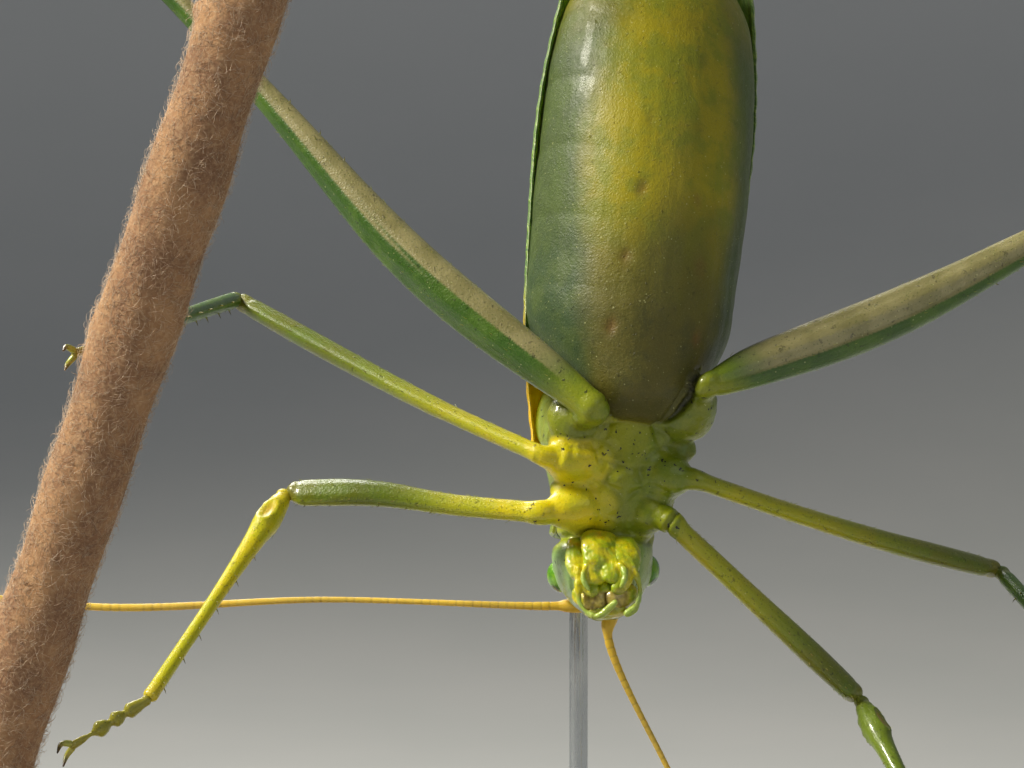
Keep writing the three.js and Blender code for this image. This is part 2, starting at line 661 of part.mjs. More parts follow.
function cercusShape(side) {
  const path = [at(side * 1.1, -25.2, 0.3), at(side * 1.5, -26.8, 0.2), at(side * 1.3, -28.0, 0.5)];
  return limb(path, graph([[0, 0.34], [1, 0.25]]), graph([[0, 0.34], [1, 0.25]]), { steps: 4, sides: 5 });
}

// ---- assembly of the animal ----------------------------------------------------------------------
const wings = SIDES.map(([, side]) => foreWing(side));
const wingRoom = SIDES.map(([, side]) => foreWing(side, GAP));
const shieldRows = pronotumShape();
const shield = plate(shieldRows, 0.55);
const shieldRoom = plate(
  shieldRows.map((row) => row.map((point) => point.clone().multiplyScalar(1 + GAP / 4))),
  0.55 + 2 * GAP,
);
const eyes = SIDES.map(([, side]) => eyeShape(side));
const chest = thoraxLength(3.4, -4.4, 0, 8);
const chestRoom = thoraxLength(3.4 + GAP, -4.4 - GAP, GAP, 8);
const belly = abdomenShape();
const bellyRoom = abdomenShape(GAP);

SIDES.forEach(([name], i) => {
  add(animal, `tegmen_${name}`, cut(wings[i], shieldRoom), 'wing');
});
SIDES.forEach(([name, side]) => {
  add(animal, `hindwing_${name}`, cut(hindWingTip(side), ...wingRoom), 'wing');
});
add(animal, 'pronotum', shield, 'thorax');

// The skull stands clear of the shield, and the eyes sit in hollows of it.
const eyeRooms = SIDES.map(([, side]) => eyeShape(side, GAP));
const skullRoom = headShape(GAP);
add(animal, 'head', cut(headShape(), shieldRoom, ...eyeRooms), 'thorax');
SIDES.forEach(([name], i) => add(animal, `eye_${name}`, eyes[i], 'eye'));
SIDES.forEach(([name]) => {
  add(animal, `antenna_${name}`, cut(feelerShape(name), skullRoom, ...eyeRooms), 'feeler');
});

// Mouth parts, each clear of the skull and of those before it.
const labrumRoom = labrumShape(GAP);
const maxillaRooms = SIDES.map(([, side]) => maxillaShape(side, GAP));
const labiumRoom = labiumShape(GAP);
add(animal, 'labrum', cut(labrumShape(), skullRoom), 'mouth');
SIDES.forEach(([name, side]) => {
  add(animal, `maxilla_${name}`, cut(maxillaShape(side), skullRoom, labrumRoom), 'mouth');
});
add(animal, 'labium', cut(labiumShape(), skullRoom, labrumRoom, ...maxillaRooms), 'mouth');
SIDES.forEach(([name, side]) => {
  const jaw = cut(jawShape(side), skullRoom, labrumRoom, labiumRoom, ...maxillaRooms);
  add(animal, `mandible_${name}`, jaw, 'mouth');
});

// Chest and abdomen.
add(animal, 'abdomen', cut(belly, ...wingRoom), 'belly');
const chestFront = cut(thoraxLength(3.4, NECK + GAP / 2), shieldRoom, skullRoom);
const chestBack = cut(thoraxLength(NECK - GAP / 2, -4.4), shieldRoom, bellyRoom, ...wingRoom);
add(animal, 'prothorax', chestFront, 'thorax');
add(animal, 'thorax', chestBack, 'thorax');
const hindWingRooms = SIDES.map(([, side]) => hindWingTip(side));
add(animal, 'ovipositor', cut(ovipositorShape(), bellyRoom, ...wingRoom, ...hindWingRooms), 'belly');
const sabreRoom = ovipositorShape(GAP);
SIDES.forEach(([name, side]) => {
  add(animal, `cercus_${name}`, cut(cercusShape(side), bellyRoom, sabreRoom, ...wingRoom), 'belly');
});

// ---- the cut stem --------------------------------------------------------------------------------
/** The woolly stem in the hanging frame: slightly uneven, cut square, with the scar of a leaf. */
function stemShape(grow = 0) {
  const axis = STEM.high.clone().sub(STEM.low).normalize();
  const side = new THREE.Vector3(0, 1, 0).cross(axis).normalize();
  const over = axis.clone().cross(side);
  const length = STEM.high.distanceTo(STEM.low);
  const steps = 10;
  const rings = [];
  for (let i = 0; i <= steps; i += 1) {
    const place = (length * i) / steps;
    const radius = STEM.radius + grow + 0.06 * Math.sin(place * 0.9) + 0.05 * Math.sin(place * 0.31);
    const centre = STEM.low.clone().addScaledVector(axis, place);
    const ring = [];
    for (let k = 0; k < STEM.sides; k += 1) {
      const angle = (k / STEM.sides) * Math.PI * 2;
      const point = centre.clone().addScaledVector(side, Math.cos(angle) * radius);
      ring.push(point.addScaledVector(over, Math.sin(angle) * radius));
    }
    rings.push(ring);
  }
  return loft(STEM.low, rings, STEM.high);
}

const stemGroup = new THREE.Group();
stemGroup.position.copy(THORAX_AT);
katydid.add(stemGroup);
add(stemGroup, 'perch_stem', stemShape(), 'stem');
const stemRoom = stemShape(GAP).applyMatrix4(poseBack);

// ---- legs in place -------------------------------------------------------------------------------
const coxaRooms = { left: [], right: [] };
for (const [name, leg] of Object.entries(LEGS)) {
  const [pair, side] = name.split('_');
  const sizes = LEG_SIZES[pair];
  const coxaRoom = coxaShape(leg, sizes, GAP);
  const femurRoom = femurShape(leg, sizes, GAP);
  const tibiaRoom = tibiaShape(leg, sizes, GAP);
  const others = coxaRooms[side];
  const coxa = cut(coxaShape(leg, sizes), chestRoom, bellyRoom, shieldRoom, ...others);
  add(animal, `${name}_coxa`, coxa, 'thorax');
  add(animal, `${name}_femur`, cut(femurShape(leg, sizes), coxaRoom, bellyRoom, ...others), 'leg');
  add(animal, `${name}_tibia`, cut(tibiaShape(leg, sizes), femurRoom, stemRoom), 'leg');
  add(animal, `${name}_tarsus`, cut(tarsusShape(leg, sizes), tibiaRoom, stemRoom), 'leg');
  others.push(coxaRoom);
}

// ---- stand ---------------------------------------------------------------------------------------
/** The base: a flat board with round corners and a small bevel. */
function baseShape() {
  const { length, width, thickness, corner, bevel } = BASE;
  const x = length / 2 - bevel;
  const y = width / 2 - bevel;
  const outline = new THREE.Shape();
  outline.moveTo(-x + corner, -y);
  outline.lineTo(x - corner, -y).absarc(x - corner, -y + corner, corner, -Math.PI / 2, 0);
  outline.lineTo(x, y - corner).absarc(x - corner, y - corner, corner, 0, Math.PI / 2);
  outline.lineTo(-x + corner, y).absarc(-x + corner, y - corner, corner, Math.PI / 2, Math.PI);
  outline.lineTo(-x, -y + corner).absarc(-x + corner, -y + corner, corner, Math.PI, Math.PI * 1.5);
  const geometry = new THREE.ExtrudeGeometry(outline, {
    depth: thickness - 2 * bevel, bevelThickness: bevel, bevelSize: bevel, bevelSegments: 1, curveSegments: 4,
  });
  return geometry.translate(0, 0, bevel);
}

/** A rod along a path from the base's top, with a round foot under it. */
function rodShape(path) {
  const foot = path[0];
  const collar = new THREE.CylinderGeometry(ROD.footRadius * 0.8, ROD.footRadius, ROD.footHeight, 16);
  collar.rotateX(Math.PI / 2);
  collar.translate(foot.x, foot.y, foot.z + ROD.footHeight / 2);
  const steps = path.length > 2 ? 12 : 2;
  const rod = limb(path, even(ROD.radius), even(ROD.radius), { steps, sides: 8, top: at(1, 0, 0) });
  return joined(collar, rod);
}

add(katydid, 'stand_base', baseShape(), 'wood');
const stemEnd = STEM.low.clone().add(THORAX_AT);
const stemFoot = at(stemEnd.x, stemEnd.y, BASE.thickness);
add(katydid, 'stand_rod_stem', rodShape([stemFoot, at(stemEnd.x, stemEnd.y, stemEnd.z - GAP)]), 'steel');
const back = at(-0.4, 0.6, PRONOTUM.top(0.6) + GAP).applyMatrix4(poseTurn).add(THORAX_AT);
const behind = back.y + 2 * ROD.bend;
const rodPath = [
  at(back.x, behind, BASE.thickness),
  at(back.x, behind, back.z - 3 * ROD.bend),
  at(back.x, behind, back.z - ROD.bend),
  at(back.x, behind - ROD.bend, back.z),
  back,
];
add(katydid, 'stand_rod_body', rodShape(rodPath), 'steel');

export default katydid;
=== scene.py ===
import math

import bpy
import numpy as np
from mathutils import Matrix, Vector
from mathutils.kdtree import KDTree


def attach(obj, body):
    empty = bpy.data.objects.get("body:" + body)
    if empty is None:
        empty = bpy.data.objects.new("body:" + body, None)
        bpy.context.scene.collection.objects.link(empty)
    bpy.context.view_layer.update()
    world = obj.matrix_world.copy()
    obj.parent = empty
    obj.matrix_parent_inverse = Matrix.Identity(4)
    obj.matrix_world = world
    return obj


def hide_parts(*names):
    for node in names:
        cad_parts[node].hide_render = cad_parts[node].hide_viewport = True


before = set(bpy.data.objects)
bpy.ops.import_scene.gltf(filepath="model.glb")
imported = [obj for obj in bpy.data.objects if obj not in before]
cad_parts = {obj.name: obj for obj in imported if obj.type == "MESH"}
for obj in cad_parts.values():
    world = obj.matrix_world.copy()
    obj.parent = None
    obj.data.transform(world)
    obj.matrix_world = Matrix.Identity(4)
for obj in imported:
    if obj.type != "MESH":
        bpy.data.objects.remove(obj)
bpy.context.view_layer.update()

# ---- skin: trunk, head and legs -----------------------------------------------------------------
# The animal's outer skin in one piece: head, neck, chest and abdomen grown into each other, with the
# hips, thighs, shins and feet on them. It hangs head down, belly to the front. Sizes are millimetres in
# the body frame (+X its right, +Y forward, +Z up out of its back) unless a point is hung in the pose.
THORAX_AT = np.array([2.0, 3.0, 54.0])
LEAN, PITCH, ROLL = map(math.radians, (6, 10, 13))
SIDES = (("left", -1), ("right", 1))
HEAD_PIVOT = np.array([0.0, 4.0, 0.5])
HEAD_ROLL, HEAD_YAW = math.radians(16), math.radians(-10)


def turn(*steps):
    """The rotation made of steps such as ("Y", angle), the last one applied first."""
    total = Matrix.Identity(3)
    for axis, angle in steps:
        total = total @ Matrix.Rotation(angle, 3, axis)
    return np.array(total)


POSE = turn(("Y", LEAN), ("X", -PITCH), ("Z", ROLL), ("X", -math.pi / 2))
HEAD_TURN = turn(("Z", HEAD_YAW), ("Y", HEAD_ROLL))


def posed(points):
    """Body-frame points, brought into the part's frame."""
    return np.asarray(points, float) @ POSE.T + THORAX_AT


def unposed(points):
    return (np.asarray(points, float) - THORAX_AT) @ POSE


def hung(*point):
    """A point measured from the thorax in the part's directions."""
    return np.array(point, float) + THORAX_AT


def on_head(points):
    """Head-frame points, turned with the head and brought into the part's frame."""
    return posed((np.asarray(points, float) - HEAD_PIVOT) @ HEAD_TURN.T + HEAD_PIVOT)


def off_head(points):
    return (unposed(points) - HEAD_PIVOT) @ HEAD_TURN + HEAD_PIVOT


def graph(*pairs):
    """A smooth curve through (place, size) pairs."""
    places, sizes = np.array(pairs, float).T
    slopes = np.gradient(sizes, places)

    def size(place):
        place = np.clip(place, places[0], places[-1])
        i = np.clip(np.searchsorted(places, place) - 1, 0, len(places) - 2)
        step = places[i + 1] - places[i]
        t = (place - places[i]) / step
        blend = sizes[i] * (1 + 2 * t) * (1 - t) ** 2 + sizes[i + 1] * t * t * (3 - 2 * t)
        return blend + step * (slopes[i] * t * (1 - t) ** 2 + slopes[i + 1] * t * t * (t - 1))

    return size


def smooth(value, low, high):
    """0 below low, 1 above high, with a soft step between."""
    t = np.clip((np.asarray(value, float) - low) / (high - low), 0, 1)
    return t * t * (3 - 2 * t)


def line_through(path, count):
    """Evenly spaced points of a smooth line through a few given ones, and its length."""
    knots = np.array(path, float)
    knots = np.vstack([2 * knots[0] - knots[1], knots, 2 * knots[-1] - knots[-2]])
    steps = np.linalg.norm(np.diff(knots, axis=0), axis=1) ** 0.5
    t = np.linspace(0, 1, 48, endpoint=False)[:, None]
    dense = []
    for i in range(1, len(knots) - 2):
        a, b, c, d = knots[i - 1 : i + 3]
        before, here, after = steps[i - 1 : i + 2]
        leave = ((b - a) / before - (c - a) / (before + here) + (c - b) / here) * here
        reach = ((c - b) / here - (d - b) / (here + after) + (d - c) / after) * here
        dense.append(
            b * (1 + 2 * t) * (1 - t) ** 2 + leave * t * (1 - t) ** 2
            + c * t * t * (3 - 2 * t) + reach * t * t * (t - 1)
        )
    dense = np.vstack(dense + [knots[-2][None]])
    travelled = np.concatenate([[0], np.cumsum(np.linalg.norm(np.diff(dense, axis=0), axis=1))])
    places = np.atleast_1d(count) if np.ndim(count) else np.linspace(0, 1, count)
    line = np.stack([np.interp(places * travelled[-1], travelled, dense[:, i]) for i in range(3)], 1)
    return line, travelled[-1]


def unit(vectors):
    return vectors / np.linalg.norm(vectors, axis=-1, keepdims=True)


def around(sides):
    """Angles of the points round a ring."""
    return np.arange(sides)[None] / sides * 2 * math.pi


def squared(value, power):
    """A sine or a cosine bent by a power under 1 from a round towards a square."""
    return np.sign(value) * np.abs(value) ** power


def bump_at(value, centre, width):
    """1 where the value is at the centre, fading to 0 beyond the width."""
    return np.exp(-(((value - centre) / width) ** 2))


def limb(path, across, up, top, rings, sides, square=1.0):
    """Rings of a round-ended limb along a path: points by ring and side, place along it, angle round it."""
    places = (1 - np.cos(np.linspace(0, math.pi, rings))) / 2
    line, length = line_through(path, places)
    tangent = unit(np.gradient(line_through(path, rings * 2)[0], axis=0))
    even = np.linspace(0, 1, rings * 2)
    tangent = unit(np.stack([np.interp(places, even, tangent[:, i]) for i in range(3)], 1))
    side = unit(np.cross(tangent, np.asarray(top, float)))
    over = np.cross(side, tangent)
    wide, high = across(places), up(places)
    near = np.minimum(1, places * length / min(wide[0], high[0]))
    near = np.minimum(near, (1 - places) * length / min(wide[-1], high[-1]))
    round_off = np.maximum(np.sqrt(1 - (1 - near) ** 2), 0.03)
    angle = (np.arange(sides) + 0.5) / sides * 2 * math.pi
    spread = (wide * round_off)[:, None, None] * squared(np.cos(angle), square)[:, None] * side[:, None]
    lift = (high * round_off)[:, None, None] * squared(np.sin(angle), square)[:, None] * over[:, None]
    return line[:, None] + spread + lift, places, angle


def swollen(grid, scale):
    """A limb's rings drawn out from their own middles, or in where the scale is under 1."""
    centre = grid.mean(1, keepdims=True)
    return centre + (grid - centre) * scale[..., None]


def ring_faces(rings, sides, first=0, capped=True):
    """Faces of a skin over rings of points, with a cap at each end."""
    i, k = np.meshgrid(np.arange(rings - 1), np.arange(sides), indexing="ij")
    a = first + i * sides + k
    b = first + i * sides + (k + 1) % sides
    faces = np.stack([a, a + sides, b + sides, b], -1).reshape(-1, 4).tolist()
    if capped:
        faces.append(list(range(first, first + sides)))
        last = first + (rings - 1) * sides
        faces.append(list(range(last + sides - 1, last - 1, -1)))
    return faces


def joined(grids, before=0):
    """The points and faces of some ring solids; before is how many points come ahead of them."""
    points, faces = [], []
    for grid in grids:
        faces += ring_faces(*grid.shape[:2], first=before + sum(map(len, points)))
        points.append(grid.reshape(-1, 3))
    return np.vstack(points), faces


def new_mesh(name, points, faces, **marks):
    """A smooth-shaded mesh from points in millimetres, with marks on the points for its finish."""
    mesh = bpy.data.meshes.new(name)
    mesh.from_pydata(np.asarray(points, float).tolist(), [], faces)
    mesh.validate()
    mesh.polygons.foreach_set("use_smooth", [True] * len(mesh.polygons))
    for key, values in marks.items():
        values = np.asarray(values, "f").reshape(-1)
        mesh.attributes.new(key, "FLOAT", "POINT").data.foreach_set("value", values)
    return mesh


def read(items, key, length, kind=float):
    """One value of each of a mesh's items, as an array."""
    values = np.empty(len(items) * length, kind)
    items.foreach_get(key, values)
    return values.reshape(-1, length)


def looks_inward(mesh):
    """Whether a closed mesh has its faces turned inside out."""
    centres, normals, areas = (
        read(mesh.polygons, key, length) for key, length in (("center", 3), ("normal", 3), ("area", 1))
    )
    return (areas * (centres - centres.mean(0)) * normals).sum() < 0


def piece(name, mesh, nodes, material):
    """The finished piece in metres: it rides on the root, and stands for its nodes."""
    if looks_inward(mesh):
        mesh.flip_normals()
    mesh.transform(Matrix.Scale(0.001, 4))
    thing = bpy.data.objects.new(name, mesh)
    bpy.context.scene.collection.objects.link(thing)
    mesh.materials.append(material)
    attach(thing, "root")
    if nodes:
        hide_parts(*nodes)
    return thing


def grown_together(solids, voxel, rounds):
    """Closed ring solids merged into one even mesh and smoothed: its points, quads and normals."""
    source = bpy.data.objects.new("growing", new_mesh("growing", *joined(solids)))
    bpy.context.scene.collection.objects.link(source)
    remesh = source.modifiers.new("remesh", "REMESH")
    remesh.mode, remesh.voxel_size = "VOXEL", voxel
    soften = source.modifiers.new("soften", "SMOOTH")
    soften.factor, soften.iterations = 0.5, rounds
    depsgraph = bpy.context.evaluated_depsgraph_get()
    mesh = bpy.data.meshes.new_from_object(source.evaluated_get(depsgraph))
    bpy.data.objects.remove(source)
    quads = read(mesh.loops, "vertex_index", 1, int).reshape(-1, 4)
    return read(mesh.vertices, "co", 3), quads, read(mesh.vertex_normals, "vector", 3)


TUCK = 0.04  # how far the skin lies inside the solids


def tucked(size):
    return lambda place: size(place) - TUCK



# Chest, abdomen: half width, back, belly and widest level along the body's long axis.
CHEST = dict(
    half=graph((-4.4, 2.4), (-3.4, 3.4), (-1.9, 3.7), (-0.4, 3.4), (1, 2.7), (2.4, 2.45), (3.4, 2.4)),
    top=graph((-4.4, 3.4), (-1, 3.1), (1, 2.5), (3.4, 2.1)),
    bottom=graph((-4.4, -2.2), (-3.2, -3.0), (-0.5, -3.0), (1.5, -2.6), (2.6, -2.1), (3.4, -1.4)),
    middle=graph((-4.4, 0.2), (0, -0.2), (3.4, 0.3)),
)
BELLY = dict(
    half=graph(
        (-26.8, 1.0), (-25.5, 2.6), (-23, 4.5), (-20, 5.15), (-16, 5.3), (-10, 5.22), (-6.5, 4.8),
        (-4.2, 3.6), (-2.9, 2.5), (-2.2, 1.6), (-1.9, 0.8),
    ),
    top=graph((-26.8, 0.6), (-24, 2.2), (-17, 3.5), (-8, 3.7), (-4.5, 3.0), (-3, 0.2), (-1.9, -2.8)),
    bottom=graph(
        (-26.8, -1.4), (-24, -3.0), (-18, -4.9), (-10, -5.6), (-5, -5.3), (-3, -4.8), (-1.9, -3.7),
    ),
    middle=graph((-26.8, -0.4), (-20, 0.0), (-16, 0.0), (-7, 0.1), (-4, -1.0), (-1.9, -3.3)),
)


def trunk_rings(part, back, front, rings):
    """Oval rings of the chest or the abdomen, read from its graphs."""
    y = np.linspace(back, front, rings)[:, None]
    angle = around(72)
    rise = np.sin(angle)
    middle = part["middle"](y)
    reach = np.where(rise > 0, part["top"](y) - middle, middle - part["bottom"](y)) - TUCK
    x = np.cos(angle) * (part["half"](y) - TUCK)
    return posed(np.stack([x, y + 0 * x, middle + rise * reach], -1))


# The skull, by level from chin to crown: half width, face and nape. It is blunt towards the neck.
SKULL = dict(
    half=graph(
        (-2.3, 1.2), (-1.7, 1.75), (-0.8, 2.1), (0.3, 2.26), (1.6, 2.2), (2.8, 1.85), (3.6, 1.2), (4, 0.6),
    ),
    face=graph((-2.3, 6.0), (-1.4, 6.75), (0, 7.1), (1.6, 7.2), (3.0, 6.95), (4.0, 6.3)),
    nape=graph((-2.3, 3.9), (-1.5, 3.4), (0, 3.15), (2, 3.15), (3.3, 3.6), (4.0, 4.5)),
)
CHIN, CROWN, EGG, BLUNT = -2.3, 4.0, 0.2, 0.48


def skull_rings():
    z = np.linspace(CHIN + TUCK, CROWN - TUCK, 60)[:, None]
    angle = around(64)
    power = np.where(np.sin(angle) < 0, BLUNT, 1)
    forward, out = squared(np.sin(angle), power), squared(np.cos(angle), power)
    middle = (SKULL["face"](z) + SKULL["nape"](z)) / 2
    deep = (SKULL["face"](z) - SKULL["nape"](z)) / 2 - TUCK
    x = out * (SKULL["half"](z) * (1 - EGG * forward) - TUCK)
    return on_head(np.stack([x, middle + forward * deep, z + 0 * x], -1))


# Each leg runs socket, hip, knee, ankle, toe. The bow is how far the thigh leaves the straight line
# from hip to knee at one third and at two thirds of it.
LEGS = {
    "fore_left": dict(
        socket=posed((-1.0, 1.8, -0.9)), hip=posed((-3.6, 2.75, -1.9)), short=0.1, bow=(-0.05, -0.3),
        knee=hung(-15.7, 0, -1.1), ankle=hung(-20.8, -10.4, -9.7), toe=hung(-24.0, -11.8, -11.6),
    ),
    "fore_right": dict(
        socket=posed((1.0, 1.7, -0.9)), hip=posed((2.15, 2.3, -2.55)), short=0.1, bow=(0, 0),
        knee=hung(11.85, 0, -11.0), ankle=hung(15.6, -10.2, -19.6), toe=hung(16.9, -13.0, -21.6),
    ),
    "middle_left": dict(
        socket=posed((-1.1, -0.1, -1.1)), hip=posed((-4.0, 0.2, -2.4)), short=0.1, bow=(0.25, 0.2),
        knee=hung(-18.7, 5.8, 8.4), ankle=hung(-21.2, -10.9, 6.4), toe=hung(-23.6, -13.4, 5.4),
    ),
    "middle_right": dict(
        socket=posed((1.3, 0.1, -1.2)), hip=posed((3.1, 0.35, -3.0)), short=0.1, bow=(0.2, 0.2),
        knee=hung(19.5, 4.8, -5.2), ankle=hung(24.6, -10.6, -13.0), toe=hung(26.6, -13.2, -15.0),
    ),
    "hind_left": dict(
        socket=posed((-2.6, -1.6, -1.0)), hip=posed((-2.7, -2.35, -4.3)), short=1.05, bow=(1.1, 0.45),
        knee=hung(-24.4, 6.5, 26.3), ankle=hung(-9.4, -11.3, 46.4), toe=hung(-7.2, -11.5, 50.2),
    ),
    "hind_right": dict(
        socket=posed((2.2, -2.1, -1.4)), hip=posed((3.05, -4.1, -4.6)), short=0.5, bow=(0.8, 0.5),
        knee=hung(31.4, 6.5, 16.6), ankle=hung(38.6, -11.4, -8.6), toe=hung(40.8, -13.8, -11.6),
    ),
}
# Half sizes over each segment's length: across, then up; and how far past the hip the thigh starts.
LIMBS = {
    "fore": dict(
        start=0.2,
        waist=graph((0, 0.68), (0.45, 0.63), (1, 0.59)),
        coxa=graph((0, 1.6), (0.45, 1.3), (0.8, 0.88), (1, 0.6)),
        femur=(
            graph((0, 0.55), (0.3, 0.54), (0.8, 0.6), (1, 0.52)),
            graph((0, 0.58), (0.3, 0.6), (0.6, 0.68), (0.84, 0.77), (0.95, 0.72), (1, 0.58)),
        ),
        tibia=(
            graph((0, 0.36), (0.07, 0.5), (0.14, 0.62), (0.25, 0.5), (0.4, 0.4), (1, 0.34)),
            graph((0, 0.42), (0.07, 0.56), (0.14, 0.68), (0.25, 0.54), (0.4, 0.42), (1, 0.36)),
        ),
    ),
    "middle": dict(
        start=0.2,
        waist=graph((0, 0.75), (0.45, 0.55), (1, 0.42)),
        coxa=graph((0, 1.6), (0.45, 1.3), (0.8, 0.95), (1, 0.7)),
        femur=(
            graph((0, 0.5), (0.3, 0.5), (0.8, 0.56), (1, 0.5)),
            graph((0, 0.52), (0.3, 0.57), (0.7, 0.62), (0.9, 0.66), (1, 0.56)),
        ),
        tibia=(graph((0, 0.42), (0.3, 0.42), (1, 0.34)), graph((0, 0.48), (0.3, 0.44), (1, 0.35))),
    ),
    "hind": dict(
        start=-0.45,
        waist=graph((0, 0.9), (0.45, 0.76), (1, 0.74)),
        coxa=graph((0, 1.7), (0.5, 1.5), (0.85, 1.05), (1, 0.85)),
        femur=(
            graph(
                (0, 0.68), (0.05, 0.82), (0.12, 0.98), (0.22, 1.08), (0.36, 1.04), (0.5, 0.85),
                (0.66, 0.66), (0.8, 0.55), (1, 0.52),
            ),
            graph(
                (0, 0.76), (0.05, 0.92), (0.12, 1.08), (0.22, 1.2), (0.36, 1.16), (0.5, 0.95), (0.66, 0.72),
                (0.8, 0.6), (1, 0.64),
            ),
        ),
        tibia=(graph((0, 0.36), (0.1, 0.38), (1, 0.36)), graph((0, 0.5), (0.1, 0.44), (1, 0.4))),
    ),
}
FORWARD, UP = POSE @ (0, 1, 0), POSE @ (0, 0, 1)


def pair_of(name):
    """Which pair a leg belongs to, from its name."""
    return name.split("_")[0]


def towards(start, end, distance):
    return start + unit(end - start) * distance


def out_of_bend(leg):
    """The way a leg's upper side looks, away from the inside of its bend."""
    return unit(leg["knee"] - (leg["hip"] + leg["ankle"]) / 2)


def thigh_path(leg, start):
    along = unit(leg["knee"] - leg["hip"])
    bowing = unit(FORWARD - along * (FORWARD @ along))
    first = towards(leg["hip"], leg["knee"], start)
    knots = [first, first + (leg["knee"] - first) * 0.33, first + (leg["knee"] - first) * 0.66, leg["knee"]]
    knots[1] = knots[1] + bowing * leg["bow"][0]
    knots[2] = knots[2] + bowing * leg["bow"][1]
    return knots


def hip_path(leg):
    end = towards(leg["hip"], leg["socket"], leg["short"])
    return [leg["socket"], leg["socket"] * 0.45 + end * 0.55, end]


def hip_solids(leg, sizes):
    """The coxa and, between it and the thigh, the short trochanter."""
    across = tucked(sizes["coxa"])
    path = hip_path(leg)
    end = path[-1]
    coxa = limb(path, across, across, FORWARD, 40, 40)[0]
    thigh = thigh_path(leg, sizes["start"])
    waist = sizes["waist"]
    inner = towards(end, leg["socket"], 0.5)
    stub = limb([inner, thigh[0], towards(thigh[0], leg["knee"], 0.9)], waist, waist, FORWARD, 30, 28)[0]
    return [coxa, stub]


hips = [solid for name, leg in LEGS.items() for solid in hip_solids(leg, LIMBS[pair_of(name)])]
neck = limb(
    [posed((0, 2.4, 0.3)), posed((-0.05, 3.2, 0.4)), on_head((0, 4.6, 0.7))],
    lambda place: 2.25 + 0.05 * np.cos(place * 28), lambda place: 2.1 + 0.05 * np.cos(place * 28),
    posed((0, 0, 1)) - THORAX_AT, 40, 48,
)[0]
CERCUS = [(0.9, -24.6, 0.3), (1.5, -26.8, 0.2), (1.3, -28.0, 0.5)]
CERCUS_SIZE = graph((0, 0.36), (0.5, 0.3), (1, 0.14))
cerci = [
    limb(posed(np.array(CERCUS) * (side, 1, 1)), CERCUS_SIZE, CERCUS_SIZE, FORWARD + 0.1, 30, 16)[0]
    for side in (-1, 1)
]
# Small lobes of the flanks, between the hips: centre and half sizes.
LOBES = [
    ((-2.9, -2.3, 0.9), (0.9, 1.7, 1.4)), ((2.9, -2.3, 0.9), (0.9, 1.7, 1.4)),
    ((-3.25, -0.95, -1.45), (0.55, 0.62, 0.75)), ((3.05, -1.15, -1.35), (0.6, 0.7, 0.8)),
    ((-2.75, 1.35, -1.05), (0.6, 0.5, 0.7)), ((2.45, 1.3, -1.1), (0.55, 0.5, 0.7)),
    ((-0.55, -1.15, -2.62), (0.62, 0.5, 0.42)), ((0.75, -1.15, -2.62), (0.62, 0.5, 0.42)),
    ((-0.6, 0.75, -2.45), (0.62, 0.55, 0.42)), ((0.6, 0.75, -2.45), (0.62, 0.55, 0.42)),
]


def ball_rings(rings, sides, hole):
    """Rings of a ball of radius 1 about its first axis; hole is the angle left open at each pole."""
    polar, angle = np.linspace(hole, math.pi - hole, rings)[:, None], around(sides)
    across = np.sin(polar)
    return np.stack([np.cos(polar) + 0 * angle, across * np.cos(angle), across * np.sin(angle)], -1)


def lobe_rings(centre, half):
    return posed(ball_rings(24, 32, 0.06)[..., (1, 0, 2)] * half + centre)


def femur_grid(name, leg, sizes):
    """A thigh, flat-sided, with a keel above and below and two rounded lobes that hold the shin."""
    hind = name.startswith("hind")
    rings, sides = (230, 40) if hind else (130, 32)
    across, up = map(tucked, sizes["femur"])
    path = thigh_path(leg, sizes["start"])
    grid, along, angle = limb(path, across, up, out_of_bend(leg), rings, sides, 0.92)
    rise, along_it = np.sin(angle), along[:, None]
    keel = 0.07 * (bump_at(rise, 1, 0.05) + bump_at(rise, -1, 0.05))
    flute = -0.06 * bump_at(rise, 0.3, 0.14) - 0.05 * bump_at(rise, -0.5, 0.16)
    hollow = -0.4 * bump_at(rise, -1, 0.4) * smooth(along_it, 0.94, 0.985)
    collar = -0.08 * bump_at(along_it, 0.95, 0.008)
    return swollen(grid, 1 + (keel + flute) + hollow + collar), along, angle


thighs = {name: femur_grid(name, leg, LIMBS[pair_of(name)]) for name, leg in LEGS.items()}
trunk_solids = [
    trunk_rings(CHEST, -4.4, 3.4, 50),
    trunk_rings(BELLY, -26.8 + TUCK, -1.9 - TUCK, 140),
    skull_rings(),
    neck,
    *hips,
    *cerci,
    *[lobe_rings(*lobe) for lobe in LOBES],
    *[grid for grid, along, angle in thighs.values()],
]
trunk, trunk_quads, trunk_normals = grown_together(trunk_solids, voxel=0.08, rounds=5)


def melted(points, quads, share, rounds):
    """The points with their creases melted away where share is over 0, and the new normals."""
    ends = np.concatenate([quads[:, k] for k in range(4)])
    others = np.concatenate([quads[:, (k + 1) % 4] for k in range(4)])
    near = (share[ends] > 0) & (ends != others)
    ends, others = ends[near], others[near]
    count = np.maximum(np.bincount(ends, minlength=len(points)), 1)
    points = points.copy()
    for _ in range(rounds):
        sums = [np.bincount(ends, points[others, axis], len(points)) for axis in range(3)]
        points += 0.6 * share[:, None] * (np.stack(sums, -1) / count[:, None] - points)
    across = np.cross(points[quads[:, 2]] - points[quads[:, 0]], points[quads[:, 3]] - points[quads[:, 1]])
    normals = np.zeros_like(points)
    for k in range(4):
        for axis in range(3):
            normals[:, axis] += np.bincount(quads[:, k], across[:, axis], len(points))
    return points, unit(normals)


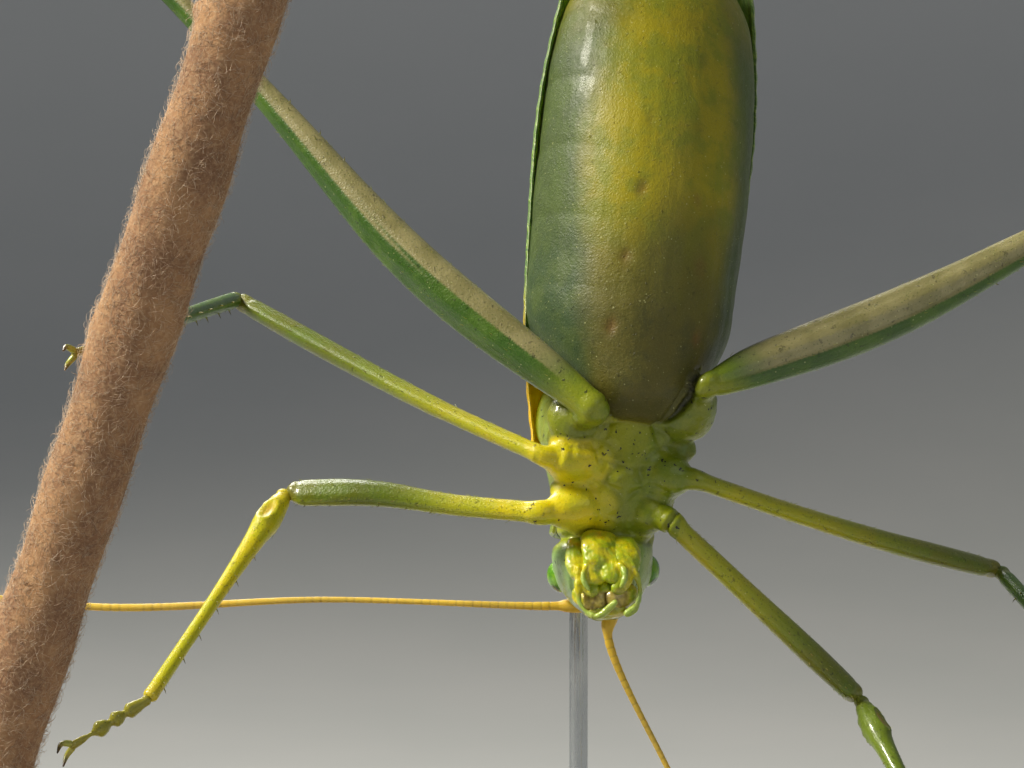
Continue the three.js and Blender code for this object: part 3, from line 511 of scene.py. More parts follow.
# The hips and lobes melt into the chest, and the chest into the neck, as soft skin does.
x, y, z = unposed(trunk).T
softness = smooth(y, -4.2, -3.2) * (1 - smooth(off_head(trunk)[:, 1], 3.7, 4.3)) * smooth(1.6 - z, 0, 0.8)
belly_edge = smooth(-1.7 - y, 0, 0.4) * smooth(2.6 - np.abs(x), 0, 0.6) * smooth(-z, 2.8, 3.4)
softness = softness * (1 - 0.6 * belly_edge)
trunk, trunk_normals = melted(trunk, trunk_quads, softness, 26)


def nearest_thigh_marks(points):
    """For each point of the grown skin: its place along the nearest thigh, which pair that thigh is of,
    and how far off it is."""
    held = []
    for name, (grid, along, angle) in thighs.items():
        place = np.broadcast_to(along[:, None], grid.shape[:2])
        pair = np.full(grid.shape[:2], ["fore", "middle", "hind"].index(pair_of(name)))
        held.append(np.stack([place, pair], -1).reshape(-1, 2))
    held = np.vstack(held)
    thigh_points = np.vstack([grid.reshape(-1, 3) for grid, along, angle in thighs.values()])
    tree = KDTree(len(thigh_points))
    for i, point in enumerate(thigh_points):
        tree.insert(point, i)
    tree.balance()
    found = np.tile((0.0, 0.0, FAR), (len(points), 1))
    inner_box = (-2.6, -30, -4.6), (2.6, 4, 9)
    off_trunk = np.linalg.norm(unposed(points) - np.clip(unposed(points), *inner_box), axis=1)
    for i in np.flatnonzero(off_trunk > 0.05):
        _, indexes, distances = zip(*tree.find_n(points[i], 3))
        weights = 1 / (0.02 + np.array(distances))
        found[i, :2] = weights @ held[list(indexes)] / weights.sum()
        found[i, 2] = distances[0]
    return found.T


FAR = 9.0  # stands for too far to matter
thigh_place, thigh_pair, thigh_away = nearest_thigh_marks(trunk)
on_thigh = 1 - smooth(thigh_away, 0.12, 0.3)

# What is carved into the grown skin, as heights along its own surface.
here = unposed(trunk)
x, y, z = here.T
head_here = off_head(trunk)
hx, hy, hz = head_here.T
flesh = 1 - on_thigh


def waves(points, scale, seed):
    """Soft random swells over a surface, from a few crossed waves."""
    rng = np.random.default_rng(seed)
    total = np.zeros(len(points))
    for octave in range(4):
        for _ in range(5):
            way = unit(rng.normal(size=3)) * scale * 1.9**octave
            total += np.sin(points @ way + rng.uniform(0, 6.28)) * 0.55**octave
    return total / 4


def out_of_part(part):
    """How far out from a trunk part's axis each point lies: 1 is its own surface."""
    middle = part["middle"](y)
    reach = np.where(z > middle, part["top"](y) - middle, middle - part["bottom"](y))
    return np.hypot(x / part["half"](y), (z - middle) / reach)


def out_of_hip(leg, sizes):
    """The same for a hip, and each point's place along it."""
    line = line_through(hip_path(leg), 36)[0]
    size = sizes["coxa"](np.linspace(0, 1, 36)) - TUCK
    out, place = np.full(len(trunk), FAR), np.zeros(len(trunk))
    close = np.flatnonzero(np.linalg.norm(trunk - line.mean(0), axis=1) < 5.5)
    ratio = np.linalg.norm(trunk[close, None] - line[None], axis=2) / size
    out[close], place[close] = ratio.min(1), ratio.argmin(1) / 35
    return out, place


# Belly: eight rings with soft folds between them, pleats along its flanks, and a pair of scars on each
# ring where muscles are anchored inside.
RING = 3.4
out_of_belly = out_of_part(BELLY)
on_belly = smooth(1.09 - out_of_belly, 0, 0.05) * smooth(-y, 1.7, 1.95) * flesh
belly_angle = np.degrees(np.arctan2(x / 5.0, -(z + 0.9) / 4.6))  # 0 on the belly's midline
from_midline = np.abs(belly_angle)
ring_place = (-y - 4.4) / RING + 0.1 * np.cos(np.radians(belly_angle) * 2)
ring_inside = ring_place - np.floor(ring_place)
to_fold = np.minimum(ring_inside, 1 - ring_inside) * RING
fold = bump_at(to_fold, 0, 0.3) * smooth(-y, 6, 10) * (0.3 + 0.7 * smooth(from_midline, 10, 60))
fold = fold * (0.45 + 0.5 * waves(here, 0.5, 14))
swell = 1 - (2 * np.abs(ring_inside - 0.5)) ** 2
wander = 7 * waves(here * (0.3, 0.5, 0.3), 0.7, 21)
pleat = bump_at(from_midline + wander, 56, 4.5) + 0.6 * bump_at(from_midline + 1.5 * wander, 38, 4)
pleat = (pleat + 0.6 * bump_at(belly_angle - wander, 16, 3)) * smooth(-y, 4.2, 7) * smooth(26 + y, 0, 3)
pleat = pleat * smooth(waves(here, 0.4, 15), -0.5, 0.4)
scar_side = (from_midline - 21 - 6 * np.cos(ring_place)) / 3.4
scar = np.exp(-(scar_side**2) - ((ring_inside - 0.5) / 0.13) ** 2) * smooth(-y, 5, 6)
scar = scar * (1 - 0.75 * smooth(-y, 11, 16)) * smooth(waves(here, 1.8, 33), -1.2, 0.2)
height = on_belly * (-0.03 * fold + 0.02 * swell - 0.045 * pleat - 0.09 * scar)
height += on_belly * (0.03 * waves(here * (1.2, 0.6, 1.2), 0.9, 3) + 0.006 * waves(here, 5.5, 31))

# Chest: borders between its rings, the midline, and a groove round each hip and lobe where it enters.
out_of_chest = out_of_part(CHEST)
on_chest = smooth(1.06 - out_of_chest, 0, 0.04) * smooth(y, -4.4, -2.6) * (1 - smooth(y, 3.0, 3.5)) * flesh
under = smooth(-z, 0.4, 1.6)
border = bump_at(y - 0.12 * np.cos(x * 2.2), 0.1, 0.12) + bump_at(y + 0.2 * np.cos(x * 1.4), -1.75, 0.13)
midline = bump_at(x + 0.05 * waves(here, 1.2, 4), 0, 0.1) * smooth(y, -1.6, -0.9)
height -= on_chest * under * (0.07 * border + 0.03 * midline)
height += on_chest * (0.04 * waves(here, 1.9, 5) + 0.02 * waves(here, 5.0, 35))
# How yellow each hip is: the hips' own yellow, with painted light making the left ones far yellower than
# the right ones, as if lit from the left.
HIP_YELLOW_AND_LIGHT = dict(
    fore_left=1, middle_left=1, fore_right=0.2, middle_right=0.1, hind_left=0.1, hind_right=0.0,
)
groove, on_hips, hips_yellow_and_light, hind_hips = (np.zeros(len(trunk)) for _ in range(4))
for name, leg in LEGS.items():
    out, place = out_of_hip(leg, LIMBS[pair_of(name)])
    mine = smooth(1.05 - out, 0, 0.04)
    wavy = waves(here, 1.1, 6)
    ridges = np.sin(place * 26 + 2.5 * wavy) * smooth(place, 0.45, 0.7) * smooth(wavy, -0.6, 0.6)
    ridges = ridges * smooth(thigh_away, 0.5, 1.1)
    height += mine * (0.045 * ridges + 0.035 * waves(here, 3.0, 8) + 0.012 * waves(here, 7.0, 18))
    moat = bump_at(out, 1.16, 0.1) * smooth(out, 1.02, 1.08) * flesh
    moat = moat * smooth(waves(here, 0.9, 12), -0.9, 0.3) * smooth(thigh_away, 0.3, 1.0)
    groove = np.maximum(groove, moat)
    on_hips = np.maximum(on_hips, mine)
    if name.startswith("hind"):
        hind_hips = np.maximum(hind_hips, (1 - smooth(out, 0.98, 1.2)) * flesh)
    yellow_here = (1 - smooth(out, 1.0, 1.25)) * HIP_YELLOW_AND_LIGHT[name] * flesh
    # Painted light: each hip's yellow fades towards the animal's right, the side away from the light.
    hips_yellow_and_light = np.maximum(hips_yellow_and_light, yellow_here * (1 - 0.85 * smooth(x, -1.3, 0.2)))
height -= 0.12 * groove * (1 - 0.6 * on_hips)
# The crevice where the belly's front end sinks into the chest, wider on the animal's right. Besides its
# depth it is painted nearly black as painted shade.
to_right = smooth(x, 0.6, 1.6)
crevice = bump_at(out_of_belly, 1.08, 0.05 + 0.07 * to_right) * (out_of_belly > 1.02) * smooth(y, -7, -5.5)
crevice = crevice * smooth(-1.75 - y, 0, 0.12) * smooth(-z, 0.5, 1.5)
height -= (0.12 + 0.15 * to_right) * crevice

# Head: the seams of the cheeks, of the face plate and below the eyes, and the sockets of the feelers.
on_skull = smooth(hy, 3.5, 4.1) * flesh
cheek = bump_at(np.abs(hx) + 0.05 * (hz + 1), 1.5, 0.08) * smooth(-hz, 0.9, 1.5)
face_seam = bump_at(hz + 0.15 * np.cos(hx * 1.7), -1.15, 0.08) * smooth(hy, 6.0, 6.5)
eye_seam = bump_at(np.abs(hx) - 0.1 * hz, 1.75, 0.08) * smooth(hy, 5.6, 6.1) * smooth(1.3 - hz, 0, 0.4)
crown_seam = bump_at(hx, 0, 0.06) * smooth(hz, 3.2, 3.6)
height -= on_skull * (0.07 * cheek + 0.07 * face_seam + 0.05 * eye_seam + 0.03 * crown_seam)
height += on_skull * 0.014 * waves(here, 3.5, 9)
EYE_AT, EYE_HALF = np.array([2.02, 4.85, 2.2]), np.array([0.7, 0.8, 0.85])
FEELER_SOCKET = np.array([0.62, 6.75, 2.75])
for side in (-1, 1):
    away = np.linalg.norm(head_here - FEELER_SOCKET * (side, 1, 1), axis=1)
    height += on_skull * (0.12 * bump_at(away, 0.5, 0.13) - 0.12 * bump_at(away, 0, 0.3))
    eye_away = np.linalg.norm((head_here - EYE_AT * (side, 1, 1)) / EYE_HALF, axis=1)
    height += on_skull * (0.07 * bump_at(eye_away, 1.22, 0.12) - 0.1 * bump_at(eye_away, 1.02, 0.07))
trunk = trunk + trunk_normals * height[:, None]

# Marks that the finish reads: which colour lies where.
# Painted light: a pale cream band along the side of each thigh that looks up, where light from above falls.
# It is broad on the hind thighs and faint on the others.
looks_up = trunk_normals @ unit(np.array([0.28, -0.3, 0.9]))
hind = smooth(thigh_pair, 1.4, 1.6)
band = smooth(looks_up, 0.26, 0.34) * 0.9 * hind + smooth(looks_up, 0.66, 0.85) * 0.15 * (1 - hind)
band = band * smooth(thigh_place, 0.03, 0.12)
knee_end = smooth(thigh_place, 0.93, 0.97)
left = smooth(-trunk[:, 0], -1, 1)
walking = 1 - hind
middle_pair = smooth(thigh_pair, 0.4, 0.6) * walking
# Painted light: the left thighs get much more yellow near the hip than the right ones.
left_yellow_and_light = (1 - smooth(thigh_place, 0.0, 0.6)) * left * (0.85 - 0.25 * middle_pair)
right_yellow = (1 - smooth(thigh_place, 0.2, 0.9)) * smooth(thigh_place, 0, 0.1) * (1 - left) * 0.4
hind_yellow = 0.1 * hind * (1 - smooth(thigh_place, 0.02, 0.12)) * left
thigh_yellow = walking * (left_yellow_and_light + right_yellow + 0.15) + hind_yellow
near_thigh = 1 - smooth(thigh_away, 0.3, 0.9)
neck_skin = smooth(y, 2.9, 3.2) * (1 - smooth(hy, 3.4, 3.8))
jaw_side = smooth(np.abs(hx), 1.3, 1.6)
flank = smooth(from_midline + 6 * waves(here, 0.8, 41), 30, 62)
trunk_marks = dict(
    # The yellow mark is partly the skin's own yellow and partly painted light, stronger on the animal's
    # left; on the chest it lies only on the left half.
    yellow=np.clip(np.maximum.reduce([
        near_thigh * thigh_yellow, flesh * hips_yellow_and_light, 0.25 * on_chest * flesh * (1 - smooth(x, -1, 1)),
    ]), 0, 1),
    deep_green=on_thigh * np.maximum(smooth(thigh_place, 0.3, 0.75) * (1 - hind), 0.75 * hind),
    belly=on_belly,
    leg=on_thigh * smooth(thigh_place, 0.015, 0.08),
    # Painted shade: the crevice painted nearly black.
    deep=crevice,
    painted_top_light=on_thigh * band * (1 - knee_end),
    tip=0.5 * on_thigh * knee_end,
    flank=on_belly * flank * (1 - 0.75 * smooth(-y, 19, 25)),
    # Painted shade: the belly darkens towards its front end by the chest.
    belly_shade=on_belly * smooth(y + 1.5 * waves(here, 0.7, 42), -13, -6),
    # Painted light: the cheeks' pale tone is half as strong on the right cheek, the shaded side.
    pale=np.maximum(
        on_skull * jaw_side * (1 - 0.5 * smooth(hx, -0.5, 0.5)),
        0.45 * on_chest * smooth(np.abs(x), 2.3, 3.1) * (1 - hips_yellow_and_light),
    ),
    membrane=neck_skin,
    scar=on_belly * scar,
    ear=0 * on_belly,
    # Painted shade: darkens the belly's folds and pleats, the grooves round the hips, the head's seams, the
    # chest's borders and the whole of the hind hips.
    crease_shade=np.clip(
        on_belly * (0.15 * fold + 0.15 * pleat) + 0.22 * groove + on_skull * (0.4 * cheek + 0.3 * face_seam)
        + 0.15 * on_chest * under * border + 0.45 * hind_hips, 0, 1,
    ),
)


def tibia_grid(name, leg, sizes):
    """A shin from inside the knee to the ankle; the fore one swells round the ear near its top."""
    pair = pair_of(name)
    rings = 150 if pair != "hind" else 210
    across, up = map(tucked, sizes["tibia"])
    path = [towards(leg["knee"], leg["ankle"], -0.12), leg["ankle"]]
    grid, along, angle = limb(path, across, up, out_of_bend(leg), rings, 28, 0.95)
    along_it = along[:, None]
    ear = np.zeros(grid.shape[:2])
    scale = 1 + ear - 0.12 * bump_at(along_it, 0.035, 0.012) + 0.08 * smooth(along_it, 0.95, 0.985)
    if pair == "fore":
        sideways = np.arccos(np.clip(np.abs(np.cos(angle)), 0, 1))
        oval = np.hypot((along_it - 0.135) / 0.052, sideways / 0.62)
        ear = np.exp(-((oval / 0.72) ** 4))
        scale += 0.16 * bump_at(oval, 1.05, 0.2) - 0.22 * ear
    return swollen(grid, scale), along, angle, ear


PAD = graph(
    (0, 0.30), (0.08, 0.26), (0.20, 0.35), (0.27, 0.36), (0.31, 0.2), (0.38, 0.34), (0.45, 0.36),
    (0.49, 0.2), (0.57, 0.36), (0.66, 0.36), (0.70, 0.18), (0.85, 0.19), (1, 0.24),
)


def tarsus_grid(leg):
    """A foot: three broad pads and the slender last joint that bears the claws."""
    start = towards(leg["ankle"], leg["toe"], -0.1)
    top = out_of_bend(leg)
    grid, along, angle = limb([start, leg["toe"]], PAD, lambda t: PAD(t) * 0.72, top, 110, 24)
    sole = bump_at(np.sin(angle), -1, 0.35) * smooth(0.69 - along, 0, 0.05)[:, None]
    return swollen(grid, 1 + 0.12 * sole), along


skin_limbs = []
marks = {key: [value] for key, value in trunk_marks.items()}


def add_to_skin(grid, **given):
    """One more limb of the skin with its marks; a mark that isn't given is none."""
    skin_limbs.append(grid)
    for key, values in marks.items():
        values.append(np.broadcast_to(given.get(key, 0.0), grid.shape[:2]).reshape(-1))


shins = {}
for name, leg in LEGS.items():
    pair = pair_of(name)
    grid, along, angle, ear = tibia_grid(name, leg, LIMBS[pair])
    shins[name] = (grid, along, angle)
    ends = (0.5 * bump_at(along, 0.035, 0.02) + 0.5 * smooth(along, 0.93, 0.98))[:, None]
    # Painted light: the left fore shin is painted yellow and the right one barely, with deep green taking
    # the rest.
    yellow = {"fore_left": 0.85, "fore_right": 0.1}.get(name, 0)
    add_to_skin(grid, leg=1, yellow=yellow, tip=ends, ear=ear, deep_green=0.5 - 0.5 * yellow)
    grid, along = tarsus_grid(leg)
    add_to_skin(grid, leg=1, tip=0.75 + 0.25 * smooth(along, 0.6, 0.9)[:, None], yellow=0.3)


class Socket:
    """A value inside a material, so that shader maths reads as ordinary sums."""

    def __init__(self, finish, output):
        self.finish, self.output = finish, output

    def maths(self, operation, *values):
        inputs = dict(enumerate(values))
        return self.finish.node("ShaderNodeMath", {"operation": operation}, inputs)

    def __add__(self, other):
        if isinstance(other, Socket) and other.output.type in ("VECTOR", "RGBA"):
            return self.finish.node("ShaderNodeVectorMath", {"operation": "ADD"}, {0: self, 1: other})
        return self.maths("ADD", self, other)

    def __sub__(self, other):
        return self.maths("SUBTRACT", self, other)

    def __rsub__(self, other):
        return self.maths("SUBTRACT", other, self)

    def __mul__(self, other):
        if self.output.type in ("VECTOR", "RGBA"):
            inputs = {0: self, "Scale": other}
            return self.finish.node("ShaderNodeVectorMath", {"operation": "SCALE"}, inputs)
        return self.maths("MULTIPLY", self, other)

    __radd__, __rmul__ = __add__, __mul__


def paint(code):
    """A colour as it looks, such as "b8bd3a", as the linear numbers a shader takes."""
    shown = np.array([int(code[i : i + 2], 16) / 255 for i in (0, 2, 4)])
    linear = np.where(shown > 0.04045, ((shown + 0.055) / 1.055) ** 2.4, shown / 12.92)
    return (*linear.tolist(), 1)


class Finish:
    """One procedural material, built from its nodes."""

    def __init__(self, name):
        self.material = bpy.data.materials.new(name)
        self.material.use_nodes = True
        self.tree = self.material.node_tree
        self.tree.nodes.clear()

    def node(self, kind, settings=None, inputs=None, output=0):
        """A node of a kind: its settings first, then its sockets' values or links."""
        made = self.tree.nodes.new(kind)
        for key, value in (settings or {}).items():
            setattr(made, key, value)
        for key, value in (inputs or {}).items():
            if isinstance(value, Socket):
                self.tree.links.new(value.output, made.inputs[key])
            else:
                made.inputs[key].default_value = paint(value) if isinstance(value, str) else value
        return Socket(self, made.outputs[output] if made.outputs else None)

    def mark(self, name):
        """A mark that was laid on the mesh's points."""
        return self.node("ShaderNodeAttribute", {"attribute_name": name}, output="Fac")

    def place(self):
        """Places on the piece, in millimetres."""
        return self.node("ShaderNodeTexCoord", output="Object") * 1000

    def noise(self, scale, detail, rough=0.5, output="Fac"):
        inputs = {"Vector": self.place(), "Scale": scale, "Detail": detail, "Roughness": rough}
        return self.node("ShaderNodeTexNoise", {}, inputs, output)

    def cells(self, scale, feature="F1", at=None, jitter=1.0):
        inputs = {"Vector": at or self.place(), "Scale": scale, "Randomness": jitter}
        return self.node("ShaderNodeTexVoronoi", {"feature": feature}, inputs)

    def step(self, value, low, high):
        """0 below low and 1 above high, softly."""
        inputs = {"Value": value, "From Min": low, "From Max": high}
        return self.node("ShaderNodeMapRange", {"interpolation_type": "SMOOTHSTEP"}, inputs)

    def mix(self, share, first, second):
        """The first colour, turned into the second by the share."""
        return self.node("ShaderNodeMix", {"data_type": "RGBA"}, {0: share, 6: first, 7: second}, 2)

    def laid_on(self, ground, *coats):
        """A ground colour under thin coats, each the mark that it follows, its strength and its colour."""
        for mark, strength, colour in coats:
            ground = self.mix(self.mark(mark) * strength, ground, colour)
        return ground

    def bump(self, height, strength, distance=0.00005):
        inputs = {"Height": height, "Strength": strength, "Distance": distance}
        return self.node("ShaderNodeBump", {}, inputs)

    def streaks(self, scale, detail, **more):
        """Noise drawn out along the piece: its scale on each axis, and how fine it is."""
        at = self.node("ShaderNodeMapping", {}, {"Vector": self.place(), "Scale": scale})
        inputs = {"Vector": at, "Scale": 1.0, "Detail": detail}
        return self.node("ShaderNodeTexNoise", {}, inputs | more)

    def surface(self, glow=None, **sockets):
        """The shader that ends the material. Its sockets are named with underscores, and glow is how much
        light goes into it, how far each colour spreads inside and the scale of that in metres."""
        if glow:
            keys = ("Subsurface_Weight", "Subsurface_Radius", "Subsurface_Scale")
            sockets |= dict(zip(keys, glow))
        inputs = {key.replace("_", " "): value for key, value in sockets.items()}
        shader = self.node("ShaderNodeBsdfPrincipled", {}, inputs)
        self.node("ShaderNodeOutputMaterial", {}, {"Surface": shader})
        return self.material


def skin_finish():
    """Waxy insect skin: yellow hips, lime chest and head, olive belly, sea-green flanks. Painted light
    makes the left side yellower and lays a pale band along the thighs' upper sides; painted shade darkens
    the belly's front, the creases and the crevice.
    """
    f = Finish("katydid_skin")
    patches = f.step(f.noise(0.55, 5, 0.6), 0.4, 0.62)

    def patched(light, dark):
        return f.mix(patches, light, dark)

    # Painted shade: the belly turns dark olive towards its front end.
    belly = f.mix(f.mark("belly_shade"), patched("958a0a", "7d7f12"), patched("4b491a", "5b551b"))
    belly = f.mix(f.mark("flank") * 0.92, belly, patched("33492c", "41542a"))
    green = f.mix(f.mark("deep_green"), patched("52721a", "6a811c"), patched("234a10", "335a16"))
    body = f.mix(f.mark("belly"), patched("6a7c0c", "828a0c"), belly)
    body = f.mix(f.mark("leg"), body, green)
    # The yellow coat is partly painted light, stronger on the animal's left.
    body = f.mix(f.mark("yellow"), body, patched("d8c404", "bfb808"))
    body = f.laid_on(body, ("pale", 0.8, "93b872"), ("membrane", 0.5, "a3ab2c"))
    # Painted highlight along the thighs' upper sides.
    body = f.mix(f.mark("painted_top_light"), body, patched("968c60", "82794e"))
    body = f.laid_on(
        body, ("ear", 0.7, "b8901c"), ("tip", 0.5, "93773a"), ("scar", 0.7, "6b4c20"),
        # Painted shade in the folds, seams and grooves.
        # Painted shade: the crevice painted nearly black.
        ("crease_shade", 0.6, "4a5420"), ("deep", 0.9, "1c1e0e"),
    )
    dots = f.step(0.24 - f.cells(5.5), 0, 0.08)
    body = f.mix(dots * (f.mark("leg") * 0.3 + 0.2), body, "3b4f14")
    flecks = f.step(0.14 - f.cells(3.1), 0, 0.06) * f.step(f.noise(1.3, 2), 0.4, 0.6)
    body = f.mix(flecks * 0.35, body, "d6d79a")
    crumbled = f.place() + f.noise(4.5, 2, output="Color") * 0.5
    speck = f.step(0.18 - f.cells(2.2, at=crumbled), 0, 0.03) * f.step(f.noise(0.9, 2), 0.41, 0.5)
    body = f.mix(speck * (1 - f.mark("belly") * 0.85) * (1 - f.mark("leg") * 0.6), body, "0b0a07")
    dust = f.step(f.noise(14, 4, 0.7), 0.5, 0.75)
    body = f.mix(dust * 0.12, body, "b9bb80")
    relief = f.noise(5.5, 4, 0.6) * 0.6 + f.noise(9, 3, 0.6) * 0.25
    relief = relief + f.cells(7, "DISTANCE_TO_EDGE") * 0.35 + speck * 0.8
    return f.surface(
        Base_Color=body, Roughness=f.step(f.noise(2.2, 3), 0.2, 0.8) * 0.16 + 0.3 + f.mark("belly") * 0.1,
        glow=(0.18, (0.9, 1.0, 0.35), 0.0005), Specular_IOR_Level=0.35, Coat_Roughness=0.1,
        Coat_Weight=0.3 - f.mark("belly") * 0.26 + f.mark("pale") * 0.1,
        Normal=f.bump(relief, 0.8, 0.00006),
    )


limb_points, limb_faces = joined(skin_limbs, before=len(trunk))
skin_mesh = new_mesh(
    "katydid_skin", np.vstack([trunk, limb_points]), trunk_quads.tolist() + limb_faces,
    **{key: np.concatenate(values) for key, values in marks.items()},
)
leg_nodes = [f"{name}_{part}" for name in LEGS for part in ("coxa", "femur", "tibia", "tarsus")]
trunk_nodes = ["head", "prothorax", "thorax", "abdomen", "cercus_left", "cercus_right"]
piece("katydid_skin", skin_mesh, trunk_nodes + leg_nodes, skin_finish())

# ---- spines and claws -----------------------------------------------------------------------------
# Horny spines in rows under the thighs and along the shins, fine bristles between them, and a pair of
# hooked claws on each foot, amber at the root and nearly black at the tip.


def horn_finish():
    f = Finish("amber_horn")
    tone = f.mix(f.mark("point"), "9aa03c", "4a3216")
    tone = f.mix(f.step(f.noise(6, 3), 0.45, 0.7) * 0.4, tone, "c9a85a")
    return f.surface(
        Base_Color=tone, Roughness=f.noise(9, 2) * 0.15 + 0.2, Coat_Weight=0.3,
        Normal=f.bump(f.noise(12, 3), 0.3),
    )


def many_faces(faces, count, points):
    """The faces of one small thing of so many points, repeated for each of its kind."""
    return (np.array(faces)[None] + np.arange(count)[:, None, None] * points).reshape(-1, 4).tolist()


def spikes(name, roots, ways, lengths, thick, bend, dark):
    """Many tapering points as one mesh: where each starts, the way it stands, how long and thick it is,
    the way it bends and how dark its tip gets."""
    sides, steps = 5, 4
    ways = unit(ways)
    side = unit(np.cross(ways, np.array([0.31, 0.53, 0.79])))
    over = np.cross(ways, side)
    rings = []
    for k in range(steps + 1):
        t = k / steps
        centre = roots + ways * lengths[:, None] * t + bend * (lengths * t * t)[:, None]
        radius = (thick * (1 - t) ** 0.8 + 0.004)[:, None]
        for corner in range(sides):
            a = corner / sides * 2 * math.pi
            rings.append(centre + (side * math.cos(a) + over * math.sin(a)) * radius)
    points = np.stack(rings, 1)
    faces = many_faces(ring_faces(steps + 1, sides, capped=False), len(roots), sides * (steps + 1))
    point = np.repeat(np.linspace(0, 1, steps + 1), sides)[None] * dark[:, None]
    return new_mesh(name, points.reshape(-1, 3), faces, point=point)


def spots_on(limb_grid, places, turned):
    """Points on a limb at places along it and angles round it, with the ways out of it and along it."""
    grid, along, angle = limb_grid
    i = np.searchsorted(along, places).clip(1, len(along) - 2)
    k = np.round(np.radians(turned) / (2 * math.pi) * len(angle) - 0.5).astype(int) % len(angle)
    centre = grid.mean(1)
    out = unit(grid[i, k] - centre[i])
    return grid[i, k] - out * 0.07, out, unit(centre[i + 1] - centre[i - 1])


# Rows of spines on each pair's thigh and shin: first place, last place, how many, angle, length, radius.
SPINE_ROWS = {
    "fore": (
        [(0.35, 0.92, 7, 248, 0.2, 0.035), (0.4, 0.9, 6, 292, 0.2, 0.035)],
        [(0.3, 0.93, 6, 238, 0.3, 0.035), (0.3, 0.93, 6, 302, 0.3, 0.035), (0.5, 0.94, 3, 60, 0.2, 0.03)],
    ),
    "middle": (
        [(0.4, 0.9, 5, 262, 0.2, 0.035)],
        [(0.15, 0.94, 8, 238, 0.38, 0.045), (0.15, 0.94, 8, 302, 0.38, 0.045),
         (0.2, 0.94, 6, 60, 0.3, 0.04)],
    ),
    "hind": (
        [(0.5, 0.95, 8, 252, 0.24, 0.04), (0.55, 0.95, 7, 288, 0.24, 0.04)],
        [(0.06, 0.95, 24, 58, 0.34, 0.05), (0.07, 0.96, 24, 122, 0.34, 0.05),
         (0.2, 0.96, 11, 240, 0.32, 0.045), (0.22, 0.97, 11, 300, 0.32, 0.045)],
    ),
}
BRISTLES, BRISTLE_RADIUS = 180, 0.011  # on each thigh and each shin
spine_rng = np.random.default_rng(7)
spine_parts = []
for name in LEGS:
    for limb_grid, rows in zip((thighs[name], shins[name]), SPINE_ROWS[pair_of(name)]):
        for start, end, count, turned, tall, thick in rows:
            places = np.linspace(start, end, count) + spine_rng.uniform(-0.008, 0.008, count)
            roots, out, onward = spots_on(limb_grid, places, np.full(count, float(turned)))
            lengths = tall * spine_rng.uniform(0.8, 1.15, count)
            stout = np.full(count, thick)
            spine_parts.append((roots, out + 0.55 * onward, lengths, stout, onward * 0.25, np.ones(count)))
        count = BRISTLES
        places, turned = spine_rng.uniform(0.05, 0.97, count), spine_rng.uniform(0, 360, count)
        roots, out, onward = spots_on(limb_grid, places, turned)
        lengths = spine_rng.uniform(0.13, 0.24, count)
        fine = np.full(count, BRISTLE_RADIUS)
        spine_parts.append((roots, out * 0.8 + onward, lengths, fine, onward * 0.3, np.zeros(count)))
spine_mesh = spikes("leg_spines", *[np.concatenate(group) for group in zip(*spine_parts)])
horn_look = horn_finish()
piece("leg_spines", spine_mesh, [], horn_look)

CLAW_SIZE = graph((0, 0.16), (0.4, 0.13), (0.8, 0.07), (1, 0.03))
claw_grids, claw_marks = [], []
for name, leg in LEGS.items():
    along_foot = unit(leg["toe"] - leg["ankle"])
    top = out_of_bend(leg)
    across_foot = unit(np.cross(along_foot, top))
    for way in (-1, 1):
        root = leg["toe"] - along_foot * 0.2 + across_foot * way * 0.08
        middle = leg["toe"] + across_foot * way * 0.38 + along_foot * 0.24 + top * 0.04
        tip = middle + along_foot * 0.34 - top * 0.42 + across_foot * way * 0.06
        grid, along, angle = limb([root, middle, tip], CLAW_SIZE, CLAW_SIZE, top, 40, 14)
        claw_grids.append(grid)
        claw_marks.append(np.repeat(smooth(along, 0.3, 0.9), 14))
piece("claws", new_mesh("claws", *joined(claw_grids), point=claw_marks), [], horn_look)

# ---- eyes ---------------------------------------------------------------------------------------
# Two bulging compound eyes, glassy green with thousands of tiny facets, set in a shallow ring of the
# skull high on its sides.
GAZE = (0.62, 0.62, -0.35)


def eye_finish():
    f = Finish("eye_facets")
    facets = f.cells(15, "DISTANCE_TO_EDGE", jitter=0.25)
    clouds = f.noise(1.6, 3)
    green = f.mix(f.step(clouds, 0.35, 0.65), "4f8a16", "7fae22")
    green = f.mix(f.mark("pupil") * 0.85, green, "12351c")
    green = f.mix(f.mark("rim") * 0.6, green, "a5b04a")
    green = f.mix(f.step(0.06 - facets, 0, 0.05) * 0.3, green, "1d4a20")
    return f.surface(
        Base_Color=green, Roughness=f.step(clouds, 0.2, 0.8) * 0.08 + 0.16, Coat_Weight=0.45,
        Coat_Roughness=0.05,
        glow=(0.15, (0.4, 1.0, 0.4), 0.0004),
        Normal=f.bump(f.step(facets, 0, 0.12), 0.25, 0.00001),
    )


eye_look = eye_finish()
for name, side in SIDES:
    ball = ball_rings(90, 96, 0.02)
    outward = ball[..., 0]
    swell = 1 + 0.03 * smooth(outward, 0.1, 0.6) - 0.05 * bump_at(outward, 0.02, 0.1)
    turned = (ball * (side, 1, 1) * EYE_HALF * swell[..., None]) @ turn(("Z", side * 0.18)).T
    grid = on_head(turned + EYE_AT * (side, 1, 1))
    pupil = smooth(ball @ unit(np.array(GAZE)), 0.93, 0.985)
    mesh = new_mesh(f"eye_{name}", *joined([grid]), pupil=pupil, rim=1 - smooth(outward, 0.05, 0.3))
    piece(f"eye_{name}_globe", mesh, [f"eye_{name}"], eye_look)

